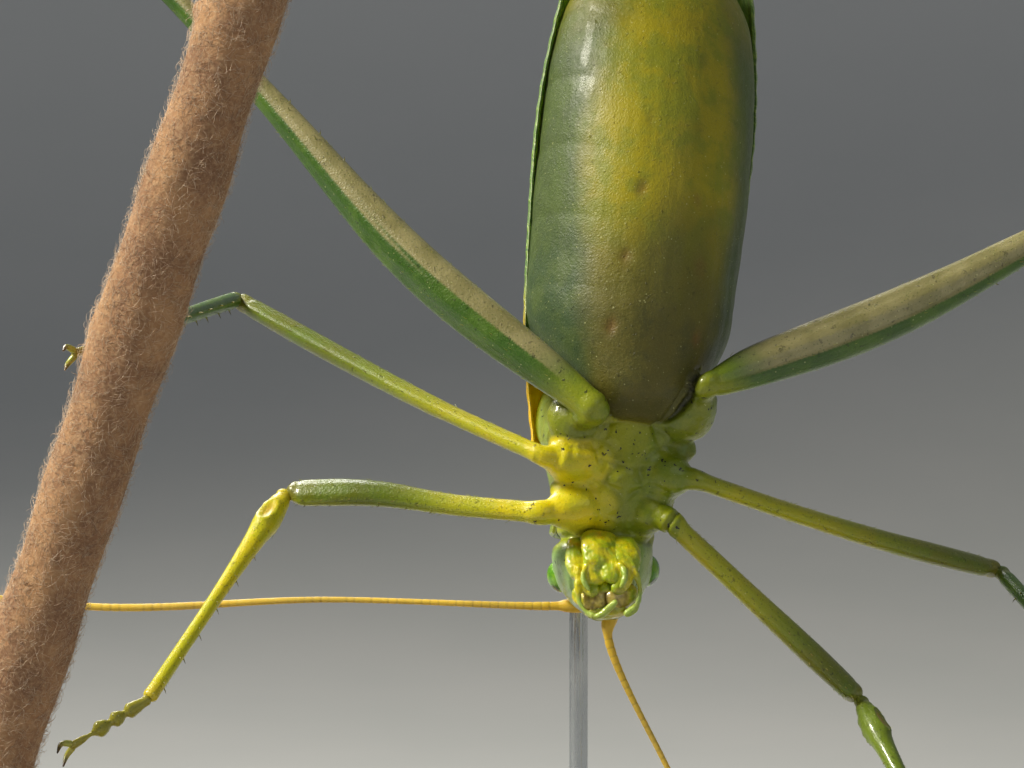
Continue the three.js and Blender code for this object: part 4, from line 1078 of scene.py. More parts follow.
# ---- pronotum -----------------------------------------------------------------------------------
# The saddle-shaped shield of the neck: one thin horny plate with rolled edges and two cross furrows,
# grown over the front of the chest.
SHIELD_FRONT, SHIELD_BACK, SHIELD_SQUARE, SHIELD_THICK = 3.3, -3.4, 0.72, 0.4
SHIELD = dict(
    half=graph((-3.4, 2.75), (-1, 3.38), (1, 2.95), (2.4, 2.6), (3.3, 2.4)),
    top=graph((-3.4, 4.85), (-1, 4.15), (1, 3.55), (3.3, 3.3)),
    hem=graph((-3.4, 4.2), (-2.4, 2.4), (-1.3, 0.6), (0.2, -0.9), (1.2, -1.1), (2.2, -0.3), (3.3, 1.3)),
)


def edge_places(count, crowd=0.02):
    """Places from 0 to 1, closer together at both ends, where a plate's edge is rounded."""
    near = crowd * np.array([0, 0.1, 0.25, 0.5])
    return np.concatenate([near, np.linspace(crowd, 1 - crowd, count), 1 - near[::-1]])


def shell(outer, thickness, relief=0.0, bead=0.0):
    """A thin plate with rounded edges under a grid of outer points: points and faces."""
    rows, columns = outer.shape[:2]
    out = unit(np.cross(np.gradient(outer, axis=0), np.gradient(outer, axis=1)))
    travel = [np.linalg.norm(np.diff(outer, axis=axis), axis=2).cumsum(axis) for axis in (0, 1)]
    from_start = np.concatenate([np.zeros((1, columns)), travel[0]])
    from_side = np.concatenate([np.zeros((rows, 1)), travel[1]], axis=1)
    gaps = [from_start, from_start[-1:] - from_start, from_side, from_side[:, -1:] - from_side]
    edge = np.min(gaps, axis=0)
    bead = bead * bump_at(edge, 0, 0.3)
    fat = thickness + bead
    lip = np.sqrt(1 - (1 - np.clip(edge / (fat / 2), 0, 1)) ** 2)
    upper = outer - out * (fat / 2 * (1 - lip) - bead / 2 - relief)[..., None]
    lower = outer - out * (fat / 2 * (1 + lip))[..., None]
    count = rows * columns
    index = np.arange(count).reshape(rows, columns)
    quads = np.stack([index[:-1, :-1], index[1:, :-1], index[1:, 1:], index[:-1, 1:]], -1).reshape(-1, 4)
    faces = quads.tolist() + (quads[:, ::-1] + count).tolist()
    border = [*index[0], *index[1:, -1], *index[-1, -2::-1], *index[-2:0:-1, 0]]
    for a, b in zip(border, border[1:] + border[:1]):
        faces.append([int(a), int(b), int(b) + count, int(a) + count])
    return np.vstack([upper.reshape(-1, 3), lower.reshape(-1, 3)]), faces


def plate_finish():
    f = Finish("pronotum_plate")
    clouds = f.noise(0.6, 4, 0.6)
    body = f.mix(f.step(clouds, 0.4, 0.65), "7f9a2a", "96a432")
    body = f.mix(f.mark("rim") * 0.6, body, "adad3c")
    body = f.mix(f.mark("keel") * 0.6, body, "b4b25a")
    pits = f.step(0.3 - f.cells(4.5), 0, 0.15)
    body = f.mix(pits * 0.35, body, "5f7424")
    relief = f.noise(6, 4) * 0.4 - pits * 0.5
    return f.surface(
        Base_Color=body, Roughness=f.step(clouds, 0.3, 0.7) * 0.15 + 0.28, Coat_Weight=0.3,
        Coat_Roughness=0.2,
        glow=(0.25, (0.9, 1.0, 0.35), 0.0006),
        Normal=f.bump(relief, 0.5),
    )


def saddle():
    """The shield's outer face, with its place along the body and its angle over the back."""
    y = SHIELD_FRONT + (SHIELD_BACK - SHIELD_FRONT) * edge_places(90)[:, None]
    angle = edge_places(150, 0.01)[None] * math.pi
    x = -squared(np.cos(angle), SHIELD_SQUARE) * SHIELD["half"](y)
    z = SHIELD["hem"](y) + (SHIELD["top"](y) - SHIELD["hem"](y)) * np.sin(angle) ** SHIELD_SQUARE
    return np.stack([x, y + 0 * x, z], -1), y, angle


grid, y, angle = saddle()
front_furrow = bump_at(y - 1.35 + 0.3 * np.cos(2 * angle), 0, 0.16)
back_furrow = bump_at(y + 0.35 - 0.25 * np.cos(2 * angle), 0, 0.16)
relief = -(0.1 * front_furrow + 0.09 * back_furrow) * np.sin(angle) ** 0.5
shoulder = bump_at(np.abs(np.cos(angle)), 0.62, 0.07) * smooth(1.5 - y, 0, 2.5)
relief += 0.07 * shoulder - 0.05
points, faces = shell(posed(grid), SHIELD_THICK, relief, bead=0.08)
rim = np.clip(bump_at(np.minimum(angle, math.pi - angle), 0, 0.09) + bump_at(y, SHIELD_BACK, 0.25), 0, 1)
shield_mesh = new_mesh("pronotum", points, faces, rim=[rim, rim], keel=[shoulder, shoulder])
piece("pronotum_shield", shield_mesh, ["pronotum"], plate_finish())

# ---- wings --------------------------------------------------------------------------------------
# The leaf-green fore wings lie like a roof over the abdomen, stiff and netted with veins, each thicker
# vein a raised rib. The folded hind wings show only as two pleated tips behind them.
WING_ROOT, WING_TIP, WING_FOLD, WING_THICK = -0.9, -33.2, 0.72, 0.22
WING = dict(
    half=graph(
        (-33.6, 1.0), (-32.4, 2.15), (-30, 3.25), (-26.5, 4.3), (-22.6, 5.0), (-18.5, 5.45), (-14, 5.6),
        (-10, 5.4), (-6, 5.0), (-3, 4.4), (-0.9, 3.85),
    ),
    ridge=graph(
        (-33.6, 1.9), (-32.4, 2.4), (-29, 3.2), (-22, 4.3), (-13, 4.9), (-6, 4.7), (-3, 4.2), (-0.9, 3.6),
    ),
    hem=graph(
        (-33.6, 1.0), (-32.4, 0.4), (-29, -0.1), (-22, -0.3), (-14, 0.0), (-8, 0.4), (-3, 1.0), (-0.9, 1.4),
    ),
)
# Ribs: where each starts and ends along the wing and across it (0 ridge, 1 hem), its height and width.
RIBS = [
    (0.0, 1.0, 0.44, 0.52, 0.10, 0.13), (0.0, 0.99, 0.52, 0.60, 0.09, 0.12),
    (0.02, 0.93, 0.70, 0.97, 0.06, 0.09), (0.04, 0.97, 0.36, 0.30, 0.06, 0.09),
    (0.0, 0.72, 0.24, 0.06, 0.05, 0.09), (0.0, 0.55, 0.16, 0.01, 0.04, 0.08),
    (0.3, 0.98, 0.5, 0.12, 0.045, 0.08), (0.45, 0.99, 0.46, 0.22, 0.045, 0.08),
    (0.6, 1.0, 0.49, 0.38, 0.04, 0.08),
]


def wing_roof(side):
    """The outer face of a fore wing, its places along and across it. The left wing lies on the right."""
    inner, lift = (-0.55, 0.1) if side < 0 else (-0.15, -0.16)
    along = edge_places(250, 0.006)[:, None]
    across = edge_places(100, 0.01)[None]
    from_tip = np.where(across > 0.34, (across - 0.34) / 0.66, (0.34 - across) / 0.34)
    rounding = np.where(across > 0.34, 5.5, 1.4) * (1 - np.sqrt(1 - 0.985 * from_tip**2))
    y = WING_ROOT + (WING_TIP + rounding - WING_ROOT) * along
    angle = across * math.pi / 2
    x = inner + (WING["half"](y) - inner) * np.sin(angle) ** WING_FOLD
    z = WING["hem"](y) + (WING["ridge"](y) - WING["hem"](y)) * np.cos(angle) ** WING_FOLD
    flare = 0.2 * smooth(across, 0.7, 1) * smooth(-y, 12, 19)
    x = x + flare - 0.2 * (z - WING["hem"](y)) * np.sin(angle) ** 2
    z = z + lift * (1 - across) ** 3
    return np.stack([side * x, y + 0 * x, z], -1), along, across


def wing_finish():
    f = Finish("wing_membrane")
    net_place = f.node("ShaderNodeCombineXYZ", {}, {"X": f.mark("along") * 62, "Y": f.mark("across") * 26})
    net = f.cells(1.0, "DISTANCE_TO_EDGE", at=net_place, jitter=0.75)
    fine = f.cells(2.6, "DISTANCE_TO_EDGE", at=net_place, jitter=0.9)
    veins = f.step(0.07 - net, 0, 0.06)
    threads = f.step(0.05 - fine, 0, 0.05)
    clouds = f.noise(0.3, 4, 0.6)
    leaf = f.mix(f.step(clouds, 0.35, 0.65), "557a3a", "6f9048")
    leaf = f.mix(veins * 0.55, leaf, "9db85a")
    leaf = f.mix(threads * 0.3, leaf, "87a852")
    leaf = f.mix(f.mark("rib") * 0.7, leaf, "a9bf62")
    # Painted light: the hem's bright orange-yellow stands in part for light shining through the wing.
    leaf = f.mix(f.mark("hem"), leaf, "ffc81e")
    leaf = f.mix(f.mark("line") * 0.85, leaf, "33401c")
    relief = veins * 0.7 + threads * 0.3 + f.noise(4, 3) * 0.3
    return f.surface(
        Base_Color=leaf, Roughness=f.step(f.noise(1.5, 3), 0.3, 0.7) * 0.15 + 0.34,
        Coat_Weight=0.15, Coat_Roughness=0.25,
        glow=(0.35, (0.9, 0.9, 0.4), 0.0006),
        Normal=f.bump(relief, 0.6, 0.00006),
    )


wing_look = wing_finish()
for name, side in SIDES:
    grid, along, across = wing_roof(side)
    relief = np.zeros(grid.shape[:2])
    rib_mark = np.zeros(grid.shape[:2])
    for start, end, from_, to, tall, wide in RIBS:
        t = np.clip((along - start) / (end - start), 0, 1)
        centre = from_ + (to - from_) * (t * (0.55 + 0.45 * t)) + 0.006 * np.sin(along * 40)
        shape = bump_at(across, centre, wide / 9.5) * smooth(along, start, start + 0.03)
        shape = shape * smooth(end - along, 0, 0.04)
        relief = np.maximum(relief, tall * shape)
        rib_mark = np.maximum(rib_mark, shape)
    relief += 0.02 * np.sin(along * 150 + across * 8) * (1 - rib_mark) - 0.09
    # The hem mark is partly the wing base's own yellow and partly painted light: its bright orange-yellow
    # stands for light shining through the wing's edge. On the inner face the same colour is painted light
    # that lifts the shade there.
    hem = smooth(across - 0.2 * smooth(along, 0.02, 0.2), 0.7, 0.8) * (1 - smooth(along, 0.12, 0.3))
    inner_hem_glow = smooth(across, 0.2, 0.5) * (1 - smooth(along, 0.1, 0.18))
    line = bump_at(across, 0.985, 0.008) + 0.5 * bump_at(across, 0.955, 0.006) + 0 * along
    along_it, across_it = np.broadcast_arrays(along, across)
    marks = dict(
        along=[along_it, along_it], across=[across_it, across_it], rib=[rib_mark, rib_mark],
        hem=[hem, inner_hem_glow], line=[line, line],
    )
    outward = slice(None, None, side)
    points, faces = shell(posed(grid)[:, outward], WING_THICK, relief[:, outward], 0.05)
    marks = {key: np.clip([face[:, outward] for face in both], 0, 1) for key, both in marks.items()}
    mesh = new_mesh(f"tegmen_{name}", points, faces, **marks)
    piece(f"tegmen_{name}_veined", mesh, [f"tegmen_{name}"], wing_look)


def hind_wing_finish():
    f = Finish("hind_wing_film")
    waving = {"Vector": f.place(), "Scale": 1.3, "Distortion": 2.0}
    streak = f.node("ShaderNodeTexWave", {"bands_direction": "Z"}, waving)
    tone = f.mix(f.step(streak, 0.3, 0.8), "7f9a52", "b4bd7c")
    tone = f.mix(f.step(f.noise(3, 3), 0.45, 0.7) * 0.4, tone, "67833f")
    return f.surface(
        Base_Color=tone, Roughness=f.noise(2, 2) * 0.2 + 0.3, Coat_Weight=0.2, Normal=f.bump(streak, 0.3),
    )


film_look = hind_wing_finish()
FILM_START, FILM_TIP = -28, -37
low_edge = graph((-37, 1.2), (-36.6, 1.0), (-35.5, 0.75), (-33, 0.45), (-28, 0.2))
high_edge = graph((-37, 1.26), (-36.6, 1.45), (-35.5, 1.65), (-33, 1.8), (-28, 2.2))
thickness = graph((-37, 0.14), (-36.2, 0.45), (-34.5, 0.8), (-32, 1.0), (-28, 1.1))
for name, side in SIDES:
    y = np.linspace(FILM_START, FILM_TIP, 120)[:, None]
    angle = around(96)
    up = np.sin(angle)
    pleat = (0.06 * np.cos(up * 22) + 0.05 * np.cos(angle * 9)) * smooth(y - FILM_TIP, 0, 1.5)
    middle = (low_edge(y) + high_edge(y)) / 2
    x = 0.03 + thickness(y) / 2 + squared(np.cos(angle), 0.4) * (thickness(y) / 2 - 0.02) * (1 + pleat)
    z = middle + up * (high_edge(y) - low_edge(y)) / 2
    grid = posed(np.stack([side * x, y + 0 * x, z], -1))
    mesh = new_mesh(f"hindwing_{name}", *joined([grid]))
    piece(f"hindwing_{name}_film", mesh, [f"hindwing_{name}"], film_look)

# ---- feelers ------------------------------------------------------------------------------------
# Two long thread feelers of a hundred and more small rings, each on a stout first joint that sits in a
# socket between the eyes.
FEELERS = {
    "left": [
        on_head((-0.6, 6.3, 2.9)), hung(-3.2, 1.9, -6.7), hung(-14, 3.2, -6.5), hung(-26, 4, -6.9),
        hung(-37, 4.4, -5.2), hung(-46, 4.5, -1.0),
    ],
    "right": [
        on_head((0.45, 6.45, 2.7)), hung(-0.2, 1.4, -8.0), hung(2.75, 1.0, -14.6), hung(7.0, 0.6, -22.6),
        hung(13.5, 0, -30.6), hung(22.5, -0.6, -36.6),
    ],
}
FEELER_SIZE = graph(
    (0, 0.3), (0.008, 0.36), (0.028, 0.32), (0.036, 0.23), (0.05, 0.215), (0.5, 0.19), (1, 0.13),
)
RING_LENGTH, FEELER_SIDES = 0.42, 14


def feeler_finish():
    f = Finish("feeler_rings")
    tone = f.mix(f.step(f.noise(0.25, 3), 0.3, 0.7), "dcb83c", "c9aa40")
    tone = f.mix(f.mark("root") * 0.6, tone, "d9b012")
    tone = f.mix(f.mark("groove") * 0.4, tone, "7b5a20")
    tone = f.mix(f.step(f.noise(6, 3), 0.5, 0.8) * 0.3, tone, "e6c66a")
    return f.surface(
        Base_Color=tone, Roughness=f.noise(8, 2) * 0.2 + 0.35, glow=(0.2, (1.0, 0.7, 0.2), 0.0003),
        Normal=f.bump(f.noise(14, 3), 0.5, 0.00002),
    )


feeler_look = feeler_finish()
for name, path in FEELERS.items():
    length = line_through(path, 2)[1]
    rings = int(length / RING_LENGTH * 6)
    grid, along, angle = limb(path, FEELER_SIZE, FEELER_SIZE, FORWARD, rings, FEELER_SIDES)
    phase = np.abs((along * length / RING_LENGTH) % 1 - 0.5) * 2
    groove = smooth(phase, 0.72, 1) * smooth(along, 0.034, 0.04)
    grid = swollen(grid, 1 - 0.09 * groove[:, None])
    marks = dict(groove=groove, root=1 - smooth(along, 0.03, 0.12))
    marks = {key: np.repeat(values, FEELER_SIDES) for key, values in marks.items()}
    mesh = new_mesh(f"antenna_{name}", *joined([grid]), **marks)
    piece(f"antenna_{name}_rings", mesh, [f"antenna_{name}"], feeler_look)

# ---- mouth --------------------------------------------------------------------------------------
# Below the face hangs the upper lip; behind it close the toothed jaws, then the maxillae and the lower
# lip, each with jointed palps. All of it is soft yellow-green skin over horn.
MOUTH = dict(
    labrum=[(0, 6.8, -1.3), (0, 6.95, -2.3), (0, 6.72, -2.98)],
    jaw=[(1.3, 5.8, -2.0), (0.8, 6.3, -2.6), (0.0, 6.32, -2.92)],
    stem=[(0.95, 3.5, -1.35), (1.1, 4.5, -2.35), (1.0, 5.4, -2.8)],
    hood=[(1.0, 4.9, -2.78), (0.85, 5.6, -2.95), (0.36, 6.1, -3.02)],
    chin=[(0, 3.2, -1.45), (0, 4.2, -2.4), (0, 5.0, -2.85)],
    lip=[(0.3, 4.3, -2.5), (0.46, 5.05, -2.9), (0.36, 5.7, -3.06)],
    tongue=[(0, 5.5, -2.4), (0, 5.9, -2.8), (0, 6.1, -2.85)],
    lip_feeler=[(0.75, 4.7, -3.0), (0.98, 5.3, -3.32), (0.7, 5.95, -3.4)],
    left_palp=[
        (-1.15, 4.7, -2.9), (-1.25, 5.7, -3.1), (-1.15, 6.6, -3.15), (-0.5, 7.12, -3.3),
        (0.55, 6.45, -3.68),
    ],
    right_palp=[(1.35, 4.8, -2.7), (1.62, 5.9, -2.8), (1.4, 6.7, -2.8), (0.8, 7.15, -2.9)],
)


def mouth_finish():
    f = Finish("mouth_skin")
    clouds = f.noise(1.4, 4, 0.6)
    tone = f.mix(f.step(clouds, 0.4, 0.62), "c2b808", "94a614")
    tone = f.mix(f.step(f.noise(1.1, 3), 0.55, 0.7) * 0.6, tone, "d09c10")
    tone = f.mix(f.mark("palp") * 0.8, tone, "93ad4c")
    tone = f.mix(f.mark("jaw"), tone, f.mix(f.step(f.noise(3, 3), 0.4, 0.6), "97842c", "c0ac54"))
    tone = f.mix(f.mark("edge") * 0.8, tone, "4f3c1c")
    return f.surface(
        Base_Color=tone, Roughness=f.step(f.noise(4, 3), 0.3, 0.7) * 0.15 + 0.26,
        Coat_Weight=f.step(f.noise(2.4, 3), 0.42, 0.58) * 0.75 + 0.05, Coat_Roughness=0.05,
        glow=(0.25, (1.0, 0.9, 0.4), 0.0004),
        Normal=f.bump(f.noise(3.2, 4, 0.6), 0.7, 0.00012),
    )


mouth_look = mouth_finish()


def mouth_piece(name, solids, paint_marks, wrinkle=0.045):
    """A mouth part grown from its solids; paint_marks tells its marks from places in the head's frame."""
    points, quads, normals = grown_together(solids, 0.045, 12)
    places = off_head(points)
    relief = wrinkle * waves(places, 3.6, 2) + 0.4 * wrinkle * waves(places, 9, 5)
    points = points + normals * relief[:, None]
    marks = dict(palp=0, jaw=0, edge=0) | paint_marks(*off_head(points).T)
    marks = {key: np.broadcast_to(values, len(points)) for key, values in marks.items()}
    piece(name + "_carved", new_mesh(name, points, quads.tolist(), **marks), [name], mouth_look)


def palp(path, joints, size):
    """A slender palp, waisted where its joints meet and blunt at the end."""

    def thick(t):
        nearest = np.min(np.abs(np.asarray(t)[..., None] - joints), axis=-1)
        return size(t) * (1 - 0.16 * bump_at(nearest, 0, 0.025)) - 0.01

    return limb(path, thick, thick, FORWARD, 110, 22)[0]


def head_way(x, y, z):
    return on_head((x, y, z)) - on_head((0, 0, 0))


def on_side(key, side):
    return on_head(np.array(MOUTH[key]) * (side, 1, 1))


def mouth_limb(key, side, wide, deep, rings, sides):
    """A blunt soft part of the mouth along its own line: half widths, half depths."""
    return limb(on_side(key, side), graph(*wide), graph(*deep), UP, rings, sides)


# Upper lip: a broad plate with a notch in the middle of its edge.
lip_width = graph((0, 0.9), (0.5, 1.04), (0.85, 0.86), (1, 0.5))
lip_depth = graph((0, 0.36), (1, 0.24))
grid, along, angle = limb(on_side("labrum", 1), lip_width, lip_depth, head_way(0, 1, 0.3), 70, 56)
centre = grid.mean(1, keepdims=True)
notch = 0.3 * bump_at(np.cos(angle), 0, 0.22)[None] * smooth(along, 0.8, 1)[:, None]
grid = grid + unit(centre[:1] - centre[-1:]) * notch[..., None]
grid = centre + (grid - centre) * (1 - 0.12 * bump_at(along, 0.32, 0.05))[:, None, None]
mouth_piece("labrum", [grid], lambda x, y, z: dict(palp=0.35, edge=0.5 * smooth(-z, 2.75, 3.0)))

# Jaws, dark and toothed where they meet; the tongue's bulge lies between them and goes with the left one.


def jaw_marks(x, y, z):
    meeting = bump_at(x, 0.0, 0.06) + 0.6 * bump_at(np.abs(x) - 0.4 * (y - 6.3), 0.5, 0.07)
    return dict(
        jaw=(1 - smooth(np.abs(x), 0.95, 1.15)) * smooth(y, 5.9, 6.1),
        edge=np.clip(meeting, 0, 1) * smooth(y, 5.95, 6.1),
    )


for name, side in SIDES:
    wide, deep = [(0, 0.5), (0.6, 0.5), (1, 0.42)], [(0, 0.5), (1, 0.24)]
    grid, along, angle = mouth_limb("jaw", side, wide, deep, 70, 30)
    teeth = 0.05 * np.sin(along * 40)[:, None] * smooth(np.abs(np.cos(angle)), 0.4, 0.9)
    solids = [swollen(grid, 1 + teeth * smooth(along, 0.4, 0.6)[:, None])]
    if side < 0:
        solids.append(mouth_limb("tongue", 1, [(0, 0.35), (1, 0.3)], [(0, 0.3), (1, 0.22)], 40, 24)[0])
    mouth_piece(f"mandible_{name}", solids, jaw_marks)


# Side jaws: a stem plate, a soft hood over the mouth, and a palp of five joints.
def side_jaw_marks(x, y, z):
    palp_here = smooth(y, 5.9, 6.4) + 0.5 * smooth(np.abs(x), 1.45, 1.6)
    return dict(palp=palp_here, edge=0.4 * bump_at(np.hypot(y - 6.15, z + 3.1), 0, 0.2))


palp_size = graph((0, 0.17), (0.6, 0.155), (0.9, 0.185), (1, 0.15))
for name, side in SIDES:
    solids = [
        mouth_limb("stem", side, [(0, 0.7), (0.5, 0.74), (1, 0.5)], [(0, 0.45), (1, 0.32)], 60, 32)[0],
        mouth_limb("hood", side, [(0, 0.36), (0.6, 0.42), (1, 0.3)], [(0, 0.24), (1, 0.2)], 50, 24)[0],
        palp(on_side(f"{name}_palp", 1), np.array([0.07, 0.15, 0.42, 0.68]), palp_size),
    ]
    mouth_piece(f"maxilla_{name}", solids, side_jaw_marks)


# Lower lip: the chin plate, two full lobes side by side, and a palp of three joints by each.
def lip_marks(x, y, z):
    palp_here = smooth(np.abs(x), 0.62, 0.75) * smooth(-z, 3.2, 3.4)
    return dict(palp=palp_here, edge=0.4 * smooth(y, 5.6, 5.85) * (np.abs(x) < 0.7))


lip_palp_size = graph((0, 0.13), (0.8, 0.15), (1, 0.12))
solids = [mouth_limb("chin", 1, [(0, 1.0), (0.5, 1.05), (1, 0.9)], [(0, 0.5), (1, 0.4)], 60, 40)[0]]
for name, side in SIDES:
    wide, deep = [(0, 0.5), (0.6, 0.58), (1, 0.44)], [(0, 0.24), (1, 0.24)]
    solids.append(mouth_limb("lip", side, wide, deep, 60, 30)[0])
    solids.append(palp(on_side("lip_feeler", side), np.array([0.25, 0.58]), lip_palp_size))
mouth_piece("labium", solids, lip_marks, 0.05)

# ---- ovipositor ---------------------------------------------------------------------------------
# The egg layer: short horny sabre blades, flat from side to side, curved up, saw-edged at the tip.


def sabre_finish():
    f = Finish("sabre_horn")
    tone = f.mix(f.mark("tip"), "7f9440", "8a5a2c")
    tone = f.mix(f.step(f.noise(1.2, 4), 0.4, 0.7) * 0.5, tone, "a9ac58")
    return f.surface(
        Base_Color=tone, Roughness=f.noise(3, 2) * 0.2 + 0.2, Coat_Weight=0.4,
        Normal=f.bump(f.noise(6, 3), 0.4),
    )


SABRE = [(0, -25.8, -1.1), (0, -28.2, -1.9), (0, -30.8, -1.1), (0, -32.4, 0.5)]
SABRE_THICK = graph((0, 0.3), (0.8, 0.26), (1, 0.12))
SABRE_DEEP = graph((0, 0.72), (0.3, 1.0), (0.75, 0.7), (1, 0.2))
grid, along, angle = limb(posed(SABRE), SABRE_THICK, SABRE_DEEP, UP, 200, 40)
edgewise, along_it = np.abs(np.sin(angle)), along[:, None]
groove = -0.22 * bump_at(edgewise, 0.1, 0.08) * smooth(0.96 - along_it, 0, 0.1)
teeth = 0.09 * np.maximum(np.sin(along_it * 190), 0) * smooth(along_it, 0.8, 0.86) * (edgewise > 0.75)
grid = swollen(grid, 1 + groove + teeth)
sabre_mesh = new_mesh("ovipositor", *joined([grid]), tip=np.repeat(smooth(along, 0.55, 1), 40))
piece("ovipositor_blades", sabre_mesh, ["ovipositor"], sabre_finish())

# ---- perch --------------------------------------------------------------------------------------
# A short cut length of the woolly stem: brown bark under a felt of pale curled hairs, sawn square so
# that the pith shows. A rod of the stand enters its lower end.
STEM_LOW, STEM_HIGH, STEM_RADIUS, WOOL = hung(-28, -14, -15.2), hung(-6, -14, 50.8), 1.95, 0.2
STEM_LENGTH = float(np.linalg.norm(STEM_HIGH - STEM_LOW))
STEM_AXIS = unit(STEM_HIGH - STEM_LOW)
STEM_SIDE = unit(np.cross((0, 1, 0), STEM_AXIS))
STEM_OVER = np.cross(STEM_AXIS, STEM_SIDE)
KNOBS = [(36.5, 3.14, 0.3, 0.42), (22.5, 3.0, 0.12, 0.7), (47.0, 0.6, 0.1, 0.6), (29.0, 4.4, 0.08, 0.5)]


def bark_radius(place, angle):
    radius = STEM_RADIUS - WOOL + 0.06 * np.sin(place * 0.9) + 0.05 * np.sin(place * 0.31)
    radius = radius + 0.03 * np.sin(angle * 5 + place * 0.35) * np.sin(place * 0.8 + angle * 2) - 0.03
    for at, toward, tall, wide in KNOBS:
        apart = np.angle(np.exp(1j * (angle - toward))) * STEM_RADIUS
        radius = radius + tall * np.exp(-((place - at) ** 2 + apart**2) / wide**2)
    return radius


def on_stem(place, angle, lift=0.0):
    """A point of the bark, by its place along the stem and its angle round it."""
    radius = (bark_radius(place, angle) + lift)[..., None]
    around = np.cos(angle)[..., None] * STEM_SIDE + np.sin(angle)[..., None] * STEM_OVER
    return STEM_LOW + np.asarray(place)[..., None] * STEM_AXIS + around * radius


def give_unwrap(mesh, points_uv):
    """The OFBake map, from one place on the unwrap for each point of the mesh."""
    layer = mesh.uv_layers.new(name="OFBake")
    corners = read(mesh.loops, "vertex_index", 1, int).reshape(-1)
    layer.data.foreach_set("uv", points_uv[corners].reshape(-1).astype("f"))


def bark_finish():
    f = Finish("woolly_bark")
    clouds = f.noise(0.45, 5, 0.65)
    fibre = f.noise(5, 5, 0.7)
    tone = f.mix(f.step(clouds, 0.35, 0.65), "876247", "ac825b")
    tone = f.mix(f.step(fibre, 0.42, 0.68) * 0.6, tone, "bd9c78")
    tone = f.mix(f.mark("pith"), tone, "d8c49a")
    return f.surface(Base_Color=tone, Roughness=0.9, Normal=f.bump(fibre, 0.8, 0.00012))


def wool_finish():
    f = Finish("wool")
    clouds = f.noise(0.45, 5, 0.65)
    tone = f.mix(f.step(clouds, 0.35, 0.65), "a4846a", "c4a283")
    tone = f.mix(f.step(f.noise(2.2, 4, 0.7), 0.5, 0.7) * 0.5, tone, "8d6c50")
    # Painted highlights: pale flecks over the wool.
    tone = f.mix(f.step(f.noise(7, 3), 0.45, 0.7) * 0.7, tone, "e6d2b4")
    return f.surface(
        Base_Color=tone, Roughness=f.noise(9, 2) * 0.1 + 0.75, glow=(0.2, (1.0, 0.8, 0.5), 0.0003),
    )


rings = 420
place = np.concatenate([[0, 0, 0], np.linspace(0, STEM_LENGTH, rings - 6), [STEM_LENGTH] * 3])[:, None]
shrink = np.concatenate([[0.02, 0.45, 0.93], np.ones(rings - 6), [0.93, 0.45, 0.02]])[:, None]
angle = around(96)
bark = on_stem(place + 0 * angle, angle + 0 * place)
axis_line = STEM_LOW + place[..., None] * STEM_AXIS
bark = axis_line + (bark - axis_line) * shrink[..., None]
bark_mesh = new_mesh("perch_stem", *joined([bark]), pith=smooth(0.8 - shrink, 0, 0.3) + 0 * angle)
unwrap = np.broadcast_arrays(angle / (2 * math.pi), place / STEM_LENGTH)
give_unwrap(bark_mesh, np.stack(unwrap, -1).reshape(-1, 2))
piece("stem_bark", bark_mesh, ["perch_stem"], bark_finish())


def wool_tufts(count, seed):
    """Short curled hairs all over the bark, each a thin three-sided blade."""
    rng = np.random.default_rng(seed)
    place = rng.uniform(0.05, STEM_LENGTH - 0.05, count)
    angle = rng.uniform(0, 2 * math.pi, count)
    root = on_stem(place, angle, -0.03)
    out = unit(on_stem(place, angle, 1.0) - on_stem(place, angle))
    lie = unit(rng.normal(size=(count, 3)) + STEM_AXIS * 0.5)
    lie = unit(lie - out * np.sum(lie * out, 1, keepdims=True))
    curl = np.cross(out, lie) * rng.uniform(-1, 1, (count, 1))
    length = rng.uniform(0.3, 0.7, (count, 1))
    stand = rng.uniform(0.1, 0.75, (count, 1)) ** 1.6
    hairs, steps = [], 4
    for k in range(steps + 1):
        t = k / steps
        centre = root + lie * length * t + out * stand * (1.6 * t - 1.1 * t * t) * 0.75
        centre = centre + curl * length * t * t * 0.7
        thick = 0.013 * (1 - 0.75 * t)
        for corner in range(3):
            turned = corner * 2 * math.pi / 3
            hairs.append(centre + (out * math.cos(turned) + np.cross(out, lie) * math.sin(turned)) * thick)
    points = np.stack(hairs, 1)
    faces = []
    for k in range(steps):
        for corner in range(3):
            a, b = 3 * k + corner, 3 * k + (corner + 1) % 3
            faces.append([a, b, b + 3, a + 3])
    mesh = new_mesh("stem_wool", points.reshape(-1, 3), many_faces(faces, count, 3 * (steps + 1)))
    spot = np.stack([angle / (2 * math.pi), place / STEM_LENGTH], 1)[:, None]
    patch = [np.tile([0, 0.0015, 0.003], steps + 1), np.repeat(np.linspace(0, 0.003, steps + 1), 3)]
    give_unwrap(mesh, (spot + np.stack(patch, 1)).reshape(-1, 2))
    return mesh


WOOL_COATS, HAIRS_IN_COAT = 3, 6700
wool_look = wool_finish()
for number in range(WOOL_COATS):
    piece(f"stem_wool_{number + 1}", wool_tufts(HAIRS_IN_COAT, 20 + number), [], wool_look)

# ---- stand --------------------------------------------------------------------------------------
# A small flat board of dark wood with rounded corners and an eased edge, and two bright steel rods that
# stand in collars: a straight one under the stem, a bent one that holds the animal's back.
BASE_HALF, BASE_THICK, BASE_CORNER, BASE_EASE = (46, 23), 5.0, 9.0, 0.8
ROD_RADIUS, COLLAR_LOW, COLLAR_HIGH, COLLAR_TALL = 0.5, 2.0, 1.6, 1.2


